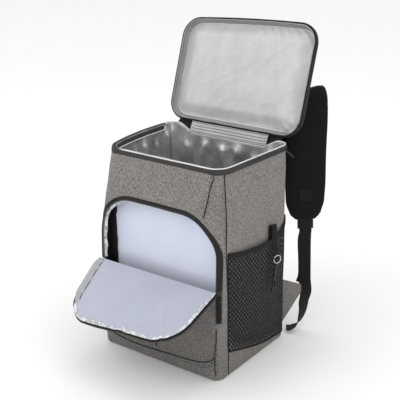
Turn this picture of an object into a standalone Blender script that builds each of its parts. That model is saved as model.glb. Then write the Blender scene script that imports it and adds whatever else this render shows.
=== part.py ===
"""Cooler backpack standing open: a padded bag with a silver lining, its lid tilted
back, and the flap of its front pocket folded down. Metres, +Z up, front towards -Y.
The origin is the middle of the base, on the surface the bag stands on."""
import math

import bmesh
import bpy
from mathutils import Matrix, Vector

# Bag
BODY_WIDTH = 0.296
BODY_DEPTH = 0.242
BODY_HEIGHT = 0.420
WALL = 0.005
BASE_ROUND = 0.006
CORNER = 0.022
LEFT_BOW = 0.015  # how far the left side bows out at the rim
BACK_DIP = 0.018  # how far the back rim sags between its corners
POCKET_DEPTH = 0.031  # from the front of the pocket to its back wall
DIVIDER = 0.004
LINING = 0.001
LINING_EASE = 0.0012  # the lining hangs this far inside the wall
FOLD = 0.009  # depth of the deepest fold of the lining
GAP = 0.0003  # clearance between neighbouring pieces

# Rim
BAND_HEIGHT = 0.012
BAND = 0.0015
BINDING = 0.0024

# Lid
LID_OVERHANG = 0.011  # the lid is this much wider than the bag on each side
LID_LENGTH = 0.216
LID_DEPTH = 0.021
LID_WALL = 0.004
LID_CORNER = 0.037
LID_ARCH = 0.004  # the lid's free edge is arched by this much
LID_RECESS = 0.013  # depth of the panel below the lid's rim
LID_SHIFT = 0.003  # the open lid leans this far to the right
LID_RISE = 0.010  # height of the lid's hinge above the rim
LID_BEHIND = 0.008  # the hinge lies this far behind the bag's back
LID_OPEN = 109  # degrees from closed

# Opening of the front pocket and its folded flap
OPENING_MARGIN = 0.008  # from the opening to the bag's side
OPENING_DROP = 0.090  # from the rim down to the opening
OPENING_FOOT = 0.022
OPENING_ROUND = 0.078
FOOT_ROUND = 0.035
HINGE_HEIGHT = 0.192
FRONT_PANEL = 0.0045
PANEL_BULGE = 0.003
ZIP_WIDTH = 0.006
ZIP = 0.0012
ZIP_END = 0.125  # height at which the zipper's loose end stops
FLAP_PAD = 0.004
FLAP_OVERLAP = 0.005  # the flap reaches this far past the opening on each side
FLAP_ROUND = 0.058
FLAP_LIP = 0.012  # width of the edge that is turned up on the left
FLAP_DROOP_LEFT = 40  # degrees below level
FLAP_DROOP_RIGHT = 22
FLAP_SKEW = 0.04  # the flap drifts to the left by this share of its length

# Mesh pockets and what hangs on the right one
MESH = 0.0012
MESH_STAND = 0.012  # how far the mesh stands off the side
HEM_HEIGHT = 0.010
HEM = 0.002
LOOP_WIDTH = 0.015
LOOP = 0.0014
LOOP_RISE = 0.028  # above the hem
LOOP_DROP = 0.036  # below it
LOOP_PLACE = 0.70  # from the mesh pocket's front seam to its back seam
RING_RADIUS = 0.0065
RING_WIRE = 0.0009
OPENER_LENGTH = 0.058
OPENER_WIDTH = 0.011
OPENER = 0.003

# Shoulder straps
PAD_WIDTH = 0.079
PAD = 0.012
WEBBING_WIDTH = 0.025
WEBBING = 0.0016
LOCK_HEIGHT = 0.022
LOCK = 0.005
WING = 0.0025

# Sliders and pulls
SLIDER = 0.009
PULL_LENGTH = 0.043
PULL_WIDTH = 0.008
PULL = 0.002
TAB_LENGTH = 0.020  # the pull that hangs at the rim's right back corner

# Steps of the meshes
ARC_STEPS = 4
SIDE_STEPS = 9

HALF_WIDTH = BODY_WIDTH / 2
BACK = BODY_DEPTH / 2
DIVIDER_FRONT = POCKET_DEPTH - BODY_DEPTH / 2
DIVIDER_BACK = DIVIDER_FRONT + DIVIDER
OPENING_HALF = HALF_WIDTH - OPENING_MARGIN
OPENING_TOP = BODY_HEIGHT - OPENING_DROP

# The bag's shape by height. Widths are shares of the half width at the front and at
# the back of each side, pocket is a share of the pocket's depth, corner is in corners.
SHAPE_COLUMNS = ("height", "left_front", "left_back", "right_front", "right_back",
                 "pocket", "corner", "left_bow")
SHAPE = (
    (0.00, 1.000, 1.000, 1.000, 1.000, 1.00, 0.90, 0.00),
    (0.12, 1.004, 1.004, 1.004, 1.000, 1.00, 0.75, 0.00),
    (0.28, 1.006, 1.004, 1.004, 0.998, 0.95, 0.68, 0.02),
    (0.44, 1.002, 1.004, 1.002, 0.998, 0.89, 0.66, 0.06),
    (0.60, 1.000, 1.002, 1.000, 0.998, 0.86, 0.85, 0.14),
    (0.70, 0.994, 1.000, 0.994, 0.997, 0.84, 1.35, 0.26),
    (0.785, 0.975, 0.998, 0.980, 0.996, 0.77, 1.75, 0.44),
    (0.90, 0.912, 0.994, 0.945, 0.990, 0.42, 1.60, 0.78),
    (1.00, 0.850, 0.986, 0.912, 0.980, 0.01, 1.40, 1.00),
)

# Vertical folds of the lining: place round the rim as a share of its length from the
# middle of the front, depth, width of the fold, and how far it drifts on its way down.
FOLD_COLUMNS = ("place", "depth", "width", "drift")
FOLDS = (
    (0.09, 0.30, 0.020, 0.01),
    (0.21, 0.45, 0.016, -0.01),
    (0.30, 0.35, 0.014, 0.01),
    (0.405, 0.70, 0.013, -0.02),
    (0.450, 0.50, 0.011, 0.01),
    (0.495, 0.75, 0.012, -0.01),
    (0.545, 0.60, 0.013, 0.02),
    (0.625, 1.00, 0.016, 0.02),
    (0.680, 0.85, 0.012, -0.01),
    (0.740, 0.70, 0.014, 0.02),
    (0.810, 0.40, 0.016, 0.01),
    (0.920, 0.25, 0.020, 0.01),
)

# Mesh pocket by place from its front seam to its back seam: hem and foot as shares of
# the bag's height.
MESH_COLUMNS = ("along", "hem", "foot")
MESH_SHAPE = (
    (0.00, 0.620, 0.130),
    (0.20, 0.601, 0.100),
    (0.45, 0.588, 0.062),
    (0.65, 0.584, 0.044),
    (0.85, 0.590, 0.034),
    (0.93, 0.613, 0.032),
    (1.00, 0.650, 0.032),
)
MESH_FRONT = 0.13  # share of the bag's depth in front of the mesh pocket
MESH_BACK = 0.035  # share of the bag's depth behind it

# Routes of the shoulder pads. Sideways is a share of the half width, behind of the
# bag's depth, height of the bag's height; turn is where the width points, in degrees
# from +X; width and thick are shares of the pad's.
PAD_COLUMNS = ("sideways", "behind", "height", "turn", "width", "thick")
PAD_RIGHT = (
    (0.405, 0.000, 0.800, 0, 0.80, 0.5),
    (0.405, 0.000, 0.850, 0, 0.85, 0.5),
    (0.430, 0.085, 0.918, 5, 0.95, 0.9),
    (0.500, 0.262, 1.010, 15, 1.00, 1.0),
    (0.620, 0.400, 1.110, 26, 0.98, 1.0),
    (0.750, 0.440, 1.180, 32, 0.96, 1.0),
    (0.865, 0.420, 1.180, 35, 0.95, 1.0),
    (0.950, 0.350, 1.090, 37, 0.97, 1.0),
    (1.030, 0.248, 0.940, 37, 0.99, 1.0),
    (1.078, 0.200, 0.790, 37, 0.99, 1.0),
    (1.088, 0.190, 0.690, 37, 0.90, 1.0),
    (1.098, 0.188, 0.630, 37, 0.64, 0.9),
    (1.102, 0.188, 0.600, 37, 0.50, 0.7),
)
PAD_LEFT = (
    (-0.405, 0.000, 0.800, 0, 0.80, 0.5),
    (-0.405, 0.000, 0.850, 0, 0.85, 0.5),
    (-0.410, 0.080, 0.905, 0, 0.95, 0.9),
    (-0.430, 0.200, 0.935, 0, 1.00, 1.0),
    (-0.455, 0.300, 0.880, 0, 1.00, 1.0),
    (-0.485, 0.330, 0.770, 0, 1.00, 1.0),
    (-0.520, 0.300, 0.640, 0, 1.00, 1.0),
    (-0.555, 0.245, 0.520, 0, 0.98, 1.0),
    (-0.580, 0.205, 0.450, 0, 0.86, 1.0),
    (-0.595, 0.185, 0.410, 0, 0.62, 0.9),
    (-0.600, 0.178, 0.390, 0, 0.50, 0.7),
)
# Webbing from the lock to the wing, and its free tail, in the same shares.
WEBBING_COLUMNS = ("sideways", "behind", "height", "turn")
WEBBING_RIGHT = (
    (1.100, 0.176, 0.480, 34),
    (1.125, 0.168, 0.370, 30),
    (1.130, 0.163, 0.300, 24),
    (1.100, 0.158, 0.255, 16),
)
TAIL_RIGHT = (
    (1.090, 0.207, 0.460, 34),
    (1.095, 0.209, 0.360, 32),
    (1.100, 0.212, 0.265, 34),
    (1.125, 0.210, 0.200, 70),
    (1.112, 0.192, 0.150, 100),
    (1.118, 0.165, 0.098, 115),
    (1.095, 0.118, 0.044, 122),
    (1.020, 0.072, 0.020, 125),
    (0.965, 0.050, 0.018, 125),
)
WEBBING_LEFT = (
    (-0.680, 0.160, 0.275, 0),
    (-0.830, 0.148, 0.240, 0),
    (-0.960, 0.135, 0.228, 0),
)
TAIL_LEFT = (
    (-0.606, 0.215, 0.290, 0),
    (-0.620, 0.225, 0.220, 0),
    (-0.640, 0.205, 0.150, 0),
    (-0.665, 0.185, 0.080, 0),
)
# The wings are sewn to the bag's back corners between these shares of its height.
WING_TOP = 0.300
WING_FOOT = 0.050

FINISHES = {  # colour, roughness, metallic
    "melange": ((0.23, 0.215, 0.20), 0.9, 0.0),
    "silver": ((0.62, 0.63, 0.65), 0.35, 0.3),
    "lavender": ((0.70, 0.72, 0.80), 0.7, 0.0),
    "tape": ((0.08, 0.08, 0.08), 0.8, 0.0),
    "black": ((0.01, 0.01, 0.01), 0.7, 0.0),
    "mesh": ((0.015, 0.015, 0.015), 0.8, 0.0),
    "steel": ((0.75, 0.75, 0.76), 0.25, 1.0),
    "black_metal": ((0.015, 0.015, 0.015), 0.35, 0.6),
}


def named_rows(columns, rows):
    return [dict(zip(columns, row)) for row in rows]


SHAPE_ROWS = named_rows(SHAPE_COLUMNS, SHAPE)


def between(a, b, share):
    return a + (b - a) * share


def ease(share):
    """Smooth step from 0 to 1."""
    share = min(max(share, 0.0), 1.0)
    return share * share * (3 - 2 * share)


def read(rows, key, column, at):
    """The column's value at a place between the table's rows."""
    for low, high in zip(rows, rows[1:]):
        if at <= high[key]:
            share = max(0.0, (at - low[key]) / (high[key] - low[key]))
            return between(low[column], high[column], share)
    return rows[-1][column]


def shape(column, z):
    return read(SHAPE_ROWS, "height", column, z / BODY_HEIGHT)


def front(z):
    """The y of the bag's outer front face at a height."""
    rim_front = DIVIDER_FRONT - GAP - WALL
    return rim_front - shape("pocket", z) * (rim_front + BODY_DEPTH / 2)


def corner(z, inset=0.0):
    return max(CORNER * shape("corner", z) - inset, CORNER * 0.1)


def settle(x, y, z):
    """Moves a point of the square bag to where it lies on the bag as it stands open."""
    along = (y + BACK) / BODY_DEPTH
    side = "left" if x < 0 else "right"
    width = between(shape(side + "_front", z), shape(side + "_back", z), along)
    if x < 0:
        width += LEFT_BOW / HALF_WIDTH * shape("left_bow", z) * 4 * along * (1 - along)
    return Vector((x * width, y, z))


def dip(x, y, z):
    """How far the back rim sags under a point of the bag's outer face."""
    near_rim = ease((z / BODY_HEIGHT - 0.8) / 0.2)
    near_back = ease((y - (BACK - CORNER)) / (CORNER * 0.5))
    inside_corners = ease((HALF_WIDTH - CORNER - abs(x)) / (CORNER * 2))
    return BACK_DIP * near_rim * near_back * inside_corners


def plan_loop(left, right, low, high, low_round, high_round, steps):
    """A rounded outline in plan, anticlockwise from the corner at right and low."""
    points = []
    corners = (
        (right - low_round, low + low_round, low_round, -90),
        (right - high_round, high - high_round, high_round, 0),
        (left + high_round, high - high_round, high_round, 90),
        (left + low_round, low + low_round, low_round, 180),
    )
    arcs = []
    for x, y, radius, start in corners:
        turns = [math.radians(start + 90 * i / ARC_STEPS) for i in range(ARC_STEPS + 1)]
        arcs.append([(x + radius * math.cos(t), y + radius * math.sin(t)) for t in turns])
    for arc, following in zip(arcs, arcs[1:] + arcs[:1]):
        points += arc
        (x0, y0), (x1, y1) = arc[-1], following[0]
        shares = [i / steps for i in range(1, steps)]
        points += [(between(x0, x1, s), between(y0, y1, s)) for s in shares]
    return points


def wall_loop(z, inset, low=None, steps=SIDE_STEPS, drop=0.0):
    """The bag's outline at a height, inset from its outer face."""
    start = front(z) + inset if low is None else low
    rounded = corner(z, inset)
    half = HALF_WIDTH - inset
    high_round = max(CORNER - inset, CORNER * 0.1)
    loop = plan_loop(-half, half, start, BACK - inset, rounded, high_round, steps)
    face = plan_loop(-HALF_WIDTH, HALF_WIDTH, front(z), BACK, corner(z), CORNER, steps)
    return [settle(x, y, z + drop) - Vector((0, 0, dip(*on_face, z)))
            for (x, y), on_face in zip(loop, face)]


def material(name):
    found = bpy.data.materials.get(name)
    if found:
        return found
    colour, roughness, metallic = FINISHES[name]
    new = bpy.data.materials.new(name)
    new.use_nodes = True
    new.diffuse_color = (*colour, 1)
    shader = new.node_tree.nodes["Principled BSDF"]
    shader.inputs["Base Color"].default_value = (*colour, 1)
    shader.inputs["Roughness"].default_value = roughness
    shader.inputs["Metallic"].default_value = metallic
    return new


def new_object(name, bm, finish, group="Cooler backpack"):
    bmesh.ops.recalc_face_normals(bm, faces=bm.faces)
    mesh = bpy.data.meshes.new(name)
    bm.to_mesh(mesh)
    bm.free()
    made = bpy.data.objects.new(name, mesh)
    bpy.data.collections[group].objects.link(made)
    if finish:
        mesh.materials.append(material(finish))
    return made


def skin(name, rings, finish, cyclic=False, group="Cooler backpack", split=False):
    """A closed solid lofted through rings of as many points each. Split halves each quad
    along its shorter diagonal, so that both faces of a thin twisted strap agree."""
    bm = bmesh.new()
    rows = [[bm.verts.new(p) for p in ring] for ring in rings]
    pairs = list(zip(rows, rows[1:] + rows[:1])) if cyclic else list(zip(rows, rows[1:]))
    for low, high in pairs:
        for i in range(len(low)):
            j = (i + 1) % len(low)
            a, b, c, d = low[i], low[j], high[j], high[i]
            if not split:
                bm.faces.new((a, b, c, d))
            elif (a.co - c.co).length < (b.co - d.co).length:
                bm.faces.new((a, b, c))
                bm.faces.new((a, c, d))
            else:
                bm.faces.new((a, b, d))
                bm.faces.new((b, c, d))
    if not cyclic:
        bm.faces.new(rows[0])
        bm.faces.new(rows[-1])
    return new_object(name, bm, finish, group)


def cells(rows):
    """The quads of a grid of corners."""
    for low, high in zip(rows, rows[1:]):
        for i in range(len(low) - 1):
            yield low[i], low[i + 1], high[i + 1], high[i]


def grid_normals(grid):
    bm = bmesh.new()
    rows = [[bm.verts.new(p) for p in row] for row in grid]
    for quad in cells(rows):
        bm.faces.new(quad)
    bm.normal_update()
    normals = [[v.normal.copy() for v in row] for row in rows]
    bm.free()
    return normals


def lifted(grid, distance):
    """The grid moved along its own normals."""
    normals = grid_normals(grid)
    return [[p + n * distance for p, n in zip(*pair)] for pair in zip(grid, normals)]


def sheet(name, grid, thickness, finish):
    """A closed sheet between a grid of points and the same grid moved along its normals."""
    far = lifted(grid, thickness)
    bm = bmesh.new()
    near_rows = [[bm.verts.new(p) for p in row] for row in grid]
    far_rows = [[bm.verts.new(p) for p in row] for row in far]
    for rows in (near_rows, far_rows):
        for quad in cells(rows):
            bm.faces.new(quad)
    near_edge, far_edge = border(near_rows), border(far_rows)
    for i in range(len(near_edge)):
        j = (i + 1) % len(near_edge)
        bm.faces.new((near_edge[i], near_edge[j], far_edge[j], far_edge[i]))
    return new_object(name, bm, finish)


def border(rows):
    """The corners round the edge of a grid, in order."""
    right = [row[-1] for row in rows[1:-1]]
    left = [row[0] for row in rows[1:-1]]
    return rows[0] + right + rows[-1][::-1] + left[::-1]


def directions(path):
    """The path's direction at each of its points."""
    ends = zip([path[0]] + path[:-1], path[1:] + [path[-1]])
    return [(b - a).normalized() for a, b in ends]


def strap(name, path, across, widths, thicknesses, finish, edge=0.0):
    """A flat strap along a path; an edge above 0 rounds its long sides."""
    rings = []
    for p, along, wide, width, thick in zip(path, directions(path), across, widths, thicknesses):
        wide = (wide - along * wide.dot(along)).normalized()
        up = wide.cross(along)
        w, t = wide * width / 2, up * thick / 2
        if edge:
            inner = w * (1 - 2 * edge / width)
            rings.append([p - w, p - inner - t, p + inner - t, p + w, p + inner + t, p - inner + t])
        else:
            rings.append([p - w - t, p + w - t, p + w + t, p - w + t])
    return skin(name, rings, finish, split=True)


def smooth_path(points, steps):
    """Points on a smooth curve through the given points."""
    padded = [points[0] * 2 - points[1]] + points + [points[-1] * 2 - points[-2]]
    made = []
    for a, b, c, d in zip(padded, padded[1:], padded[2:], padded[3:]):
        for i in range(steps):
            t = i / steps
            made.append(0.5 * (2 * b + (c - a) * t + (2 * a - 5 * b + 4 * c - d) * t ** 2
                               + (3 * b - a - 3 * c + d) * t ** 3))
    return made + [points[-1]]


def smooth_values(values, steps):
    made = []
    for a, b in zip(values, values[1:]):
        made += [between(a, b, i / steps) for i in range(steps)]
    return made + [values[-1]]


def wire(name, points, radius, finish, closed=False, resolution=1):
    """A round wire along a list of points."""
    curve = bpy.data.curves.new(name, "CURVE")
    curve.dimensions = "3D"
    curve.bevel_depth = radius
    curve.bevel_resolution = resolution
    curve.use_fill_caps = True
    line = curve.splines.new("POLY")
    line.points.add(len(points) - 1)
    for target, p in zip(line.points, points):
        target.co = (*p, 1)
    line.use_cyclic_u = closed
    made = bpy.data.objects.new(name, curve)
    bpy.data.collections["Cooler backpack"].objects.link(made)
    curve.materials.append(material(finish))
    return made


def block(name, size, place, turn, finish, round_by=0.0):
    """A box with its edges rounded."""
    bpy.ops.mesh.primitive_cube_add(size=1)
    made = bpy.context.object
    made.name = made.data.name = name
    for old in list(made.users_collection):
        old.objects.unlink(made)
    bpy.data.collections["Cooler backpack"].objects.link(made)
    made.data.transform(Matrix.Diagonal((*size, 1)))
    made.location = place
    made.rotation_euler = turn
    made.data.materials.append(material(finish))
    if round_by:
        bevel = made.modifiers.new("Rounded edges", "BEVEL")
        bevel.width = round_by
        bevel.segments = 1
    return made


def cut(target, cutter, operation="DIFFERENCE"):
    boolean = target.modifiers.new("Opening", "BOOLEAN")
    boolean.object = cutter
    boolean.operation = operation
    boolean.solver = "EXACT"
    cutter.hide_render = True
    cutter.display_type = "WIRE"


def body_rows(low=0.0):
    """Heights at which the bag's walls have their rings."""
    return [row["height"] * BODY_HEIGHT for row in SHAPE_ROWS if row["height"] > low]


def make_body_shell():
    rings = []
    for degrees in (0, 30, 60, 90):
        turn = math.radians(degrees)
        z = BASE_ROUND * (1 - math.cos(turn))
        rings.append(wall_loop(z, BASE_ROUND * (1 - math.sin(turn))))
    rings += [wall_loop(z, 0.0) for z in body_rows()]
    rings += [wall_loop(z, WALL) for z in reversed(body_rows())]
    rings.append(wall_loop(WALL * 1.6, WALL))
    rings.append(wall_loop(WALL, WALL * 1.6))
    shell = skin("body_shell", rings, "melange")
    cut(shell, opening_prism("opening_cutter", 0.0))


def opening_outline(inset, foot=None):
    """The pocket's opening in x and z: a rounded box, or its part above a height."""
    half = OPENING_HALF - inset
    low, high = OPENING_FOOT + inset, OPENING_TOP - inset
    top_round = min(OPENING_ROUND, (high - HINGE_HEIGHT) * 0.6) - inset
    foot_round = min(FOOT_ROUND, (HINGE_HEIGHT - low) * 0.4) - inset
    steps = 7
    points = []
    corners = (
        (half - foot_round, low + foot_round, foot_round, -90),
        (half - top_round, high - top_round, top_round, 0),
        (top_round - half, high - top_round, top_round, 90),
        (foot_round - half, low + foot_round, foot_round, 180),
    )
    for x, z, radius, start in corners:
        for i in range(steps + 1):
            turn = math.radians(start + 90 * i / steps)
            points.append((x + radius * math.cos(turn), z + radius * math.sin(turn)))
    if foot is None:
        return points
    upper = points[steps + 1:3 * (steps + 1)]
    between_rows = [z for z in body_rows() if foot < z < high - top_round]
    right_side = [(half, z) for z in [foot] + between_rows]
    return right_side + upper + [(-x, z) for x, z in reversed(right_side)]


def opening_prism(name, inset):
    """A cutter in the shape of the opening, through the bag's front wall alone."""
    rings = [[Vector((x, y, z)) for x, z in opening_outline(inset)]
             for y in (-BODY_DEPTH, DIVIDER_FRONT - GAP)]
    return skin(name, rings, None, group="Cutters")


def fold_depth(place, down):
    """How far the lining folds inwards at a place round the rim, by depth below it."""
    total = 0.0
    for fold in named_rows(FOLD_COLUMNS, FOLDS):
        away = place - (fold["place"] + fold["drift"] * down)
        total += fold["depth"] * math.exp(-(away / fold["width"]) ** 2)
    fade = ease(down / 0.12) * (1 - 0.75 * ease((down - 0.35) / 0.5))
    return FOLD * min(total, 1.0) * fade


def make_main_lining():
    steps = 11
    offset = WALL + LINING_EASE
    low = DIVIDER_BACK + GAP
    heights = [share * BODY_HEIGHT for share in (0.05, 0.30, 0.60, 0.785, 0.90)]
    heights.append(BODY_HEIGHT - GAP * 4)

    def ring(z, extra, floor=None):
        inset = offset + extra
        plain = plan_loop(inset - HALF_WIDTH, HALF_WIDTH - inset, low + extra, BACK - inset,
                          corner(z, inset), max(CORNER - inset, CORNER * 0.1), steps)
        flat = plan_loop(inset - HALF_WIDTH, HALF_WIDTH - inset, low + extra, BACK - inset,
                         CORNER * 0.5, CORNER * 0.5, steps)
        face = plan_loop(-HALF_WIDTH, HALF_WIDTH, low, BACK, corner(z), CORNER, steps)
        middle = Vector((0, (low + BACK) / 2))
        count = len(plain)
        first_front = count - steps // 2
        points = []
        for i, (x, y) in enumerate(plain):
            place = ((i - first_front) % count) / count
            depth = fold_depth(place, 1 - z / BODY_HEIGHT)
            inwards = (middle - Vector(flat[i])).normalized()
            point = settle(x, y, z if floor is None else floor)
            point.z -= dip(*face[i], z)
            points.append(point + Vector((inwards.x, inwards.y, 0)) * depth)
        return points

    base = WALL + GAP
    rings = [ring(heights[0], BASE_ROUND, base)]
    rings += [ring(z, 0.0) for z in heights]
    rings += [ring(z, LINING) for z in reversed(heights)]
    rings.append(ring(heights[0], BASE_ROUND + LINING, base + LINING))
    return skin("main_lining", rings, "silver")


def inner_half(y, z):
    """Half width inside the bag's walls, narrower where the front corners round in."""
    rounded = corner(z)
    into_corner = front(z) + rounded - y
    if into_corner <= 0:
        return HALF_WIDTH - WALL - GAP
    left_over = max((rounded - WALL) ** 2 - into_corner ** 2, 0.0)
    return HALF_WIDTH - rounded + math.sqrt(left_over) - GAP * 8


def make_pocket_back_wall():
    columns = 8
    heights = [WALL * 2.2] + body_rows(0.05)
    heights[-1] -= GAP * 3
    rings = []
    for z in heights:
        ring = []
        for y, turn in ((DIVIDER_FRONT, 1), (DIVIDER_BACK, -1)):
            side = inner_half(y, z) * turn
            across = [between(-side, side, i / columns) for i in range(columns + 1)]
            ring += [settle(x, y, z) for x in across]
        rings.append(ring)
    return skin("pocket_back_wall", rings, "lavender")


def make_rim():
    low, high = BODY_HEIGHT - BAND_HEIGHT, BODY_HEIGHT
    band = [wall_loop(z, -inset) for z, inset in
            ((low, GAP), (low, GAP + BAND), (high, GAP + BAND), (high, GAP))]
    skin("rim_band", band, "tape", cyclic=True)
    outer, inner = GAP + BAND, WALL + LINING_EASE + LINING
    rings = []
    profile = ((-outer, 0.0), (-outer, 0.6), (GAP - outer, 1.0), (inner - GAP, 1.0),
               (inner, 0.6), (inner, 0.0))
    for inset, share in profile:
        low_edge = None if inset < WALL else DIVIDER_BACK + inset - WALL - LINING_EASE
        drop = GAP * 2 + BINDING * share
        rings.append(wall_loop(BODY_HEIGHT, inset, low=low_edge, drop=drop))
    skin("rim_binding", rings, "silver", cyclic=True)


def lid_place():
    """From the lid's own frame, where it lies closed, to the open lid."""
    hinge = Matrix.Translation((LID_SHIFT, BACK + LID_BEHIND, BODY_HEIGHT + LID_RISE))
    return hinge @ Matrix.Rotation(math.radians(-LID_OPEN), 4, "X")


def lid_loop(z, inset):
    half = HALF_WIDTH + LID_OVERHANG - inset
    rounded = max(LID_CORNER - inset, LID_WALL)
    loop = plan_loop(-half, half, inset - LID_LENGTH, -inset, rounded, rounded, 6)
    placed = []
    for x, y in loop:
        arch = LID_ARCH * (1 - (x / half) ** 2) * -y / LID_LENGTH
        placed.append(lid_place() @ Vector((x, y - arch, z)))
    return placed


def make_lid():
    rolled = LID_DEPTH * 0.55
    outer = [(0.0, 0.0), (LID_DEPTH - rolled, LID_WALL * 0.1),
             (LID_DEPTH - rolled * 0.4, rolled * 0.25), (LID_DEPTH, rolled)]
    inside = LID_DEPTH - LID_WALL
    bend = inside - rolled * 0.9
    inner = [(0.0, LID_WALL), (bend, LID_WALL * 1.2), (inside, rolled + LID_WALL)]
    skin("lid_shell", [lid_loop(z, inset) for z, inset in outer[::-1] + inner], "melange")

    def wall_inset(z):
        return between(LID_WALL * 1.2, rolled + LID_WALL, (z - bend) / (inside - bend))

    clear = GAP * 2
    under = LID_RECESS + LINING
    outer = [(under, wall_inset(under) + clear), (bend, LID_WALL * 1.2 + clear),
             (0.0, LID_WALL + GAP)]
    inner = [(0.0, LID_WALL + GAP + LINING), (bend - LINING * 0.5, LID_WALL * 1.2 + clear + LINING),
             (LID_RECESS, wall_inset(LID_RECESS) + clear + LINING)]
    skin("lid_lining", [lid_loop(z, inset) for z, inset in outer + inner], "silver")
    band_low, band_high = LID_DEPTH * 0.04, LID_DEPTH * 0.4
    band = [lid_loop(z, -inset) for z, inset in
            ((band_low, GAP), (band_low, GAP + BAND), (band_high, GAP + BAND), (band_high, GAP))]
    skin("lid_band", band, "black", cyclic=True)
    reach = LID_WALL + GAP + LINING
    binding = [lid_loop(-GAP - BINDING * share, inset) for inset, share in
               ((0.0, 0.0), (0.0, 0.6), (GAP, 1.0), (reach - GAP, 1.0), (reach, 0.6), (reach, 0.0))]
    skin("lid_binding", binding, "silver", cyclic=True)


def make_hinge_strip():
    """Creased cloth from the sagging back rim up to the lid's lower edge."""
    reach = HALF_WIDTH - CORNER * 2.2
    rim = [p for p in wall_loop(BODY_HEIGHT, WALL * 0.4) if p.y > BACK - WALL and abs(p.x) < reach]
    place = lid_place()
    thick = LINING
    above_rim = GAP * 4 + BINDING + thick * 0.6
    high = place @ Vector((0, GAP * 3 + BAND, LID_DEPTH * 0.12))
    rows = 8
    grid = []
    for i in range(rows + 1):
        share = i / rows
        crease = thick * 0.8 * (-1) ** i * (0 < i < rows)
        row = []
        for p in rim[::-1]:
            row.append(Vector((p.x, between(p.y, high.y, share) + crease,
                               between(p.z + above_rim, high.z, share))))
        grid.append(row)
    sheet("hinge_strip", grid, -thick, "silver")


def make_front_panel():
    """Lower front of the pocket, padded, a little proud of the bag in its middle."""
    columns, steps = 10, 6
    half = OPENING_HALF + OPENING_MARGIN * 0.2
    low, high = OPENING_FOOT * 0.5, flap_foot()
    grid = []
    for i in range(steps + 1):
        z = between(low, high, i / steps)
        row = []
        for j in range(columns + 1):
            share = between(-1, 1, j / columns)
            swell = (1 - share ** 2) * math.sin(math.pi * i / steps)
            row.append(Vector((half * share, front(z) - PANEL_BULGE * swell, z)))
        grid.append(row)
    made = sheet("front_panel", [row[::-1] for row in grid], FRONT_PANEL, "melange")
    cut(made, opening_prism("panel_outline", GAP), "INTERSECT")


def flap_thickness():
    return LINING + GAP + FLAP_PAD


def flap_foot():
    """The top of the front panel, just under the folded flap."""
    return HINGE_HEIGHT - flap_thickness() - GAP * 3


def flap_surface(x, s):
    """Upper face of the flap at a place across it and a distance from its fold."""
    half = OPENING_HALF + FLAP_OVERLAP
    share = x / (2 * half) + 0.5
    droop = math.radians(between(FLAP_DROOP_LEFT, FLAP_DROOP_RIGHT, share))
    ahead = flap_thickness() * math.sin(math.radians(FLAP_DROOP_LEFT)) + GAP * 2
    start = front(HINGE_HEIGHT) - ahead
    lip = ease((-x - half + FLAP_LIP) / FLAP_LIP) * ease(s / (FLAP_LIP * 2))
    return Vector((x - FLAP_SKEW * s, start - s * math.cos(droop),
                   HINGE_HEIGHT - s * math.sin(droop) + FLAP_LIP * 0.6 * lip))


def flap_outline(inset=0.0):
    """Pairs of distance from the fold and half width, down the flap's side."""
    length = OPENING_TOP - HINGE_HEIGHT - inset
    half = OPENING_HALF + FLAP_OVERLAP - inset
    rounded = min(FLAP_ROUND, length * 0.45) - inset
    straight = length - rounded
    pairs = [(straight * i / 5, half) for i in range(6)]
    for i in range(1, 7):
        turn = math.radians(90 * i / 6)
        pairs.append((straight + rounded * math.sin(turn),
                      half - rounded + rounded * math.cos(turn)))
    return pairs


def flap_grid():
    shares = (-1, -0.96, -0.92, -0.6, -0.2, 0.2, 0.6, 0.92, 1)
    return [[flap_surface(half * share, s) for share in shares] for s, half in flap_outline()]


def make_flap():
    grid = flap_grid()
    up = 1 if grid_normals(grid)[3][5].z > 0 else -1
    sheet("flap_lining", grid, -LINING * up, "lavender")
    pad = lifted(grid, -(LINING + GAP) * up)
    sheet("pocket_flap", pad, -FLAP_PAD * up, "melange")
    outer, inner = flap_outline(), flap_outline(ZIP_WIDTH)
    strip = []
    for pairs in (outer, inner):
        right = [(half, s) for s, half in pairs]
        left = [(-x, s) for x, s in reversed(right)]
        middle = [(between(right[-1][0], left[0][0], i / 4), right[-1][1]) for i in range(1, 4)]
        strip.append([flap_surface(x, s) for x, s in right + middle + left])
    edge = [list(pair) for pair in zip(*strip)]
    facing = 1 if grid_normals(edge)[2][0].z > 0 else -1
    under = lifted(edge, -(flap_thickness() + GAP * 5) * facing)
    sheet("flap_zipper", under, -ZIP * facing, "black")


def on_front(x, z, lift):
    """A point on the bag's front and its corners, lifted off the surface."""
    rounded = corner(z)
    reach = HALF_WIDTH - rounded
    y = front(z) + rounded
    if abs(x) <= reach:
        return settle(x, front(z) - lift, z)
    share = min((abs(x) - reach) / rounded, 1.0)
    turn = math.asin(share)
    out = rounded + lift
    return settle(math.copysign(reach + out * math.sin(turn), x), y - out * math.cos(turn), z)


def make_opening_zipper():
    inner = opening_outline(0.0, HINGE_HEIGHT + GAP)
    outer = opening_outline(-ZIP_WIDTH, HINGE_HEIGHT + GAP)
    grid = []
    for (x0, z0), (x1, z1) in zip(inner, outer):
        grid.append([on_front(between(x0, x1, s), between(z0, z1, s), GAP * 2.5)
                     for s in (0, 1 / 3, 2 / 3, 1)])
    outward = -1 if grid_normals(grid)[len(grid) // 2][2].y > 0 else 1
    sheet("opening_zipper", grid, ZIP * outward, "tape")
    heights = [between(ZIP_END, HINGE_HEIGHT - flap_thickness() - ZIP * 4, i / 4) for i in range(5)]
    end = [[on_front(OPENING_HALF + ZIP_WIDTH * s, z, GAP * 2.5) for s in (0, 0.5, 1)]
           for z in heights]
    outward = -1 if grid_normals(end)[2][1].y > 0 else 1
    sheet("zipper_end", end, ZIP * outward, "tape")


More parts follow.
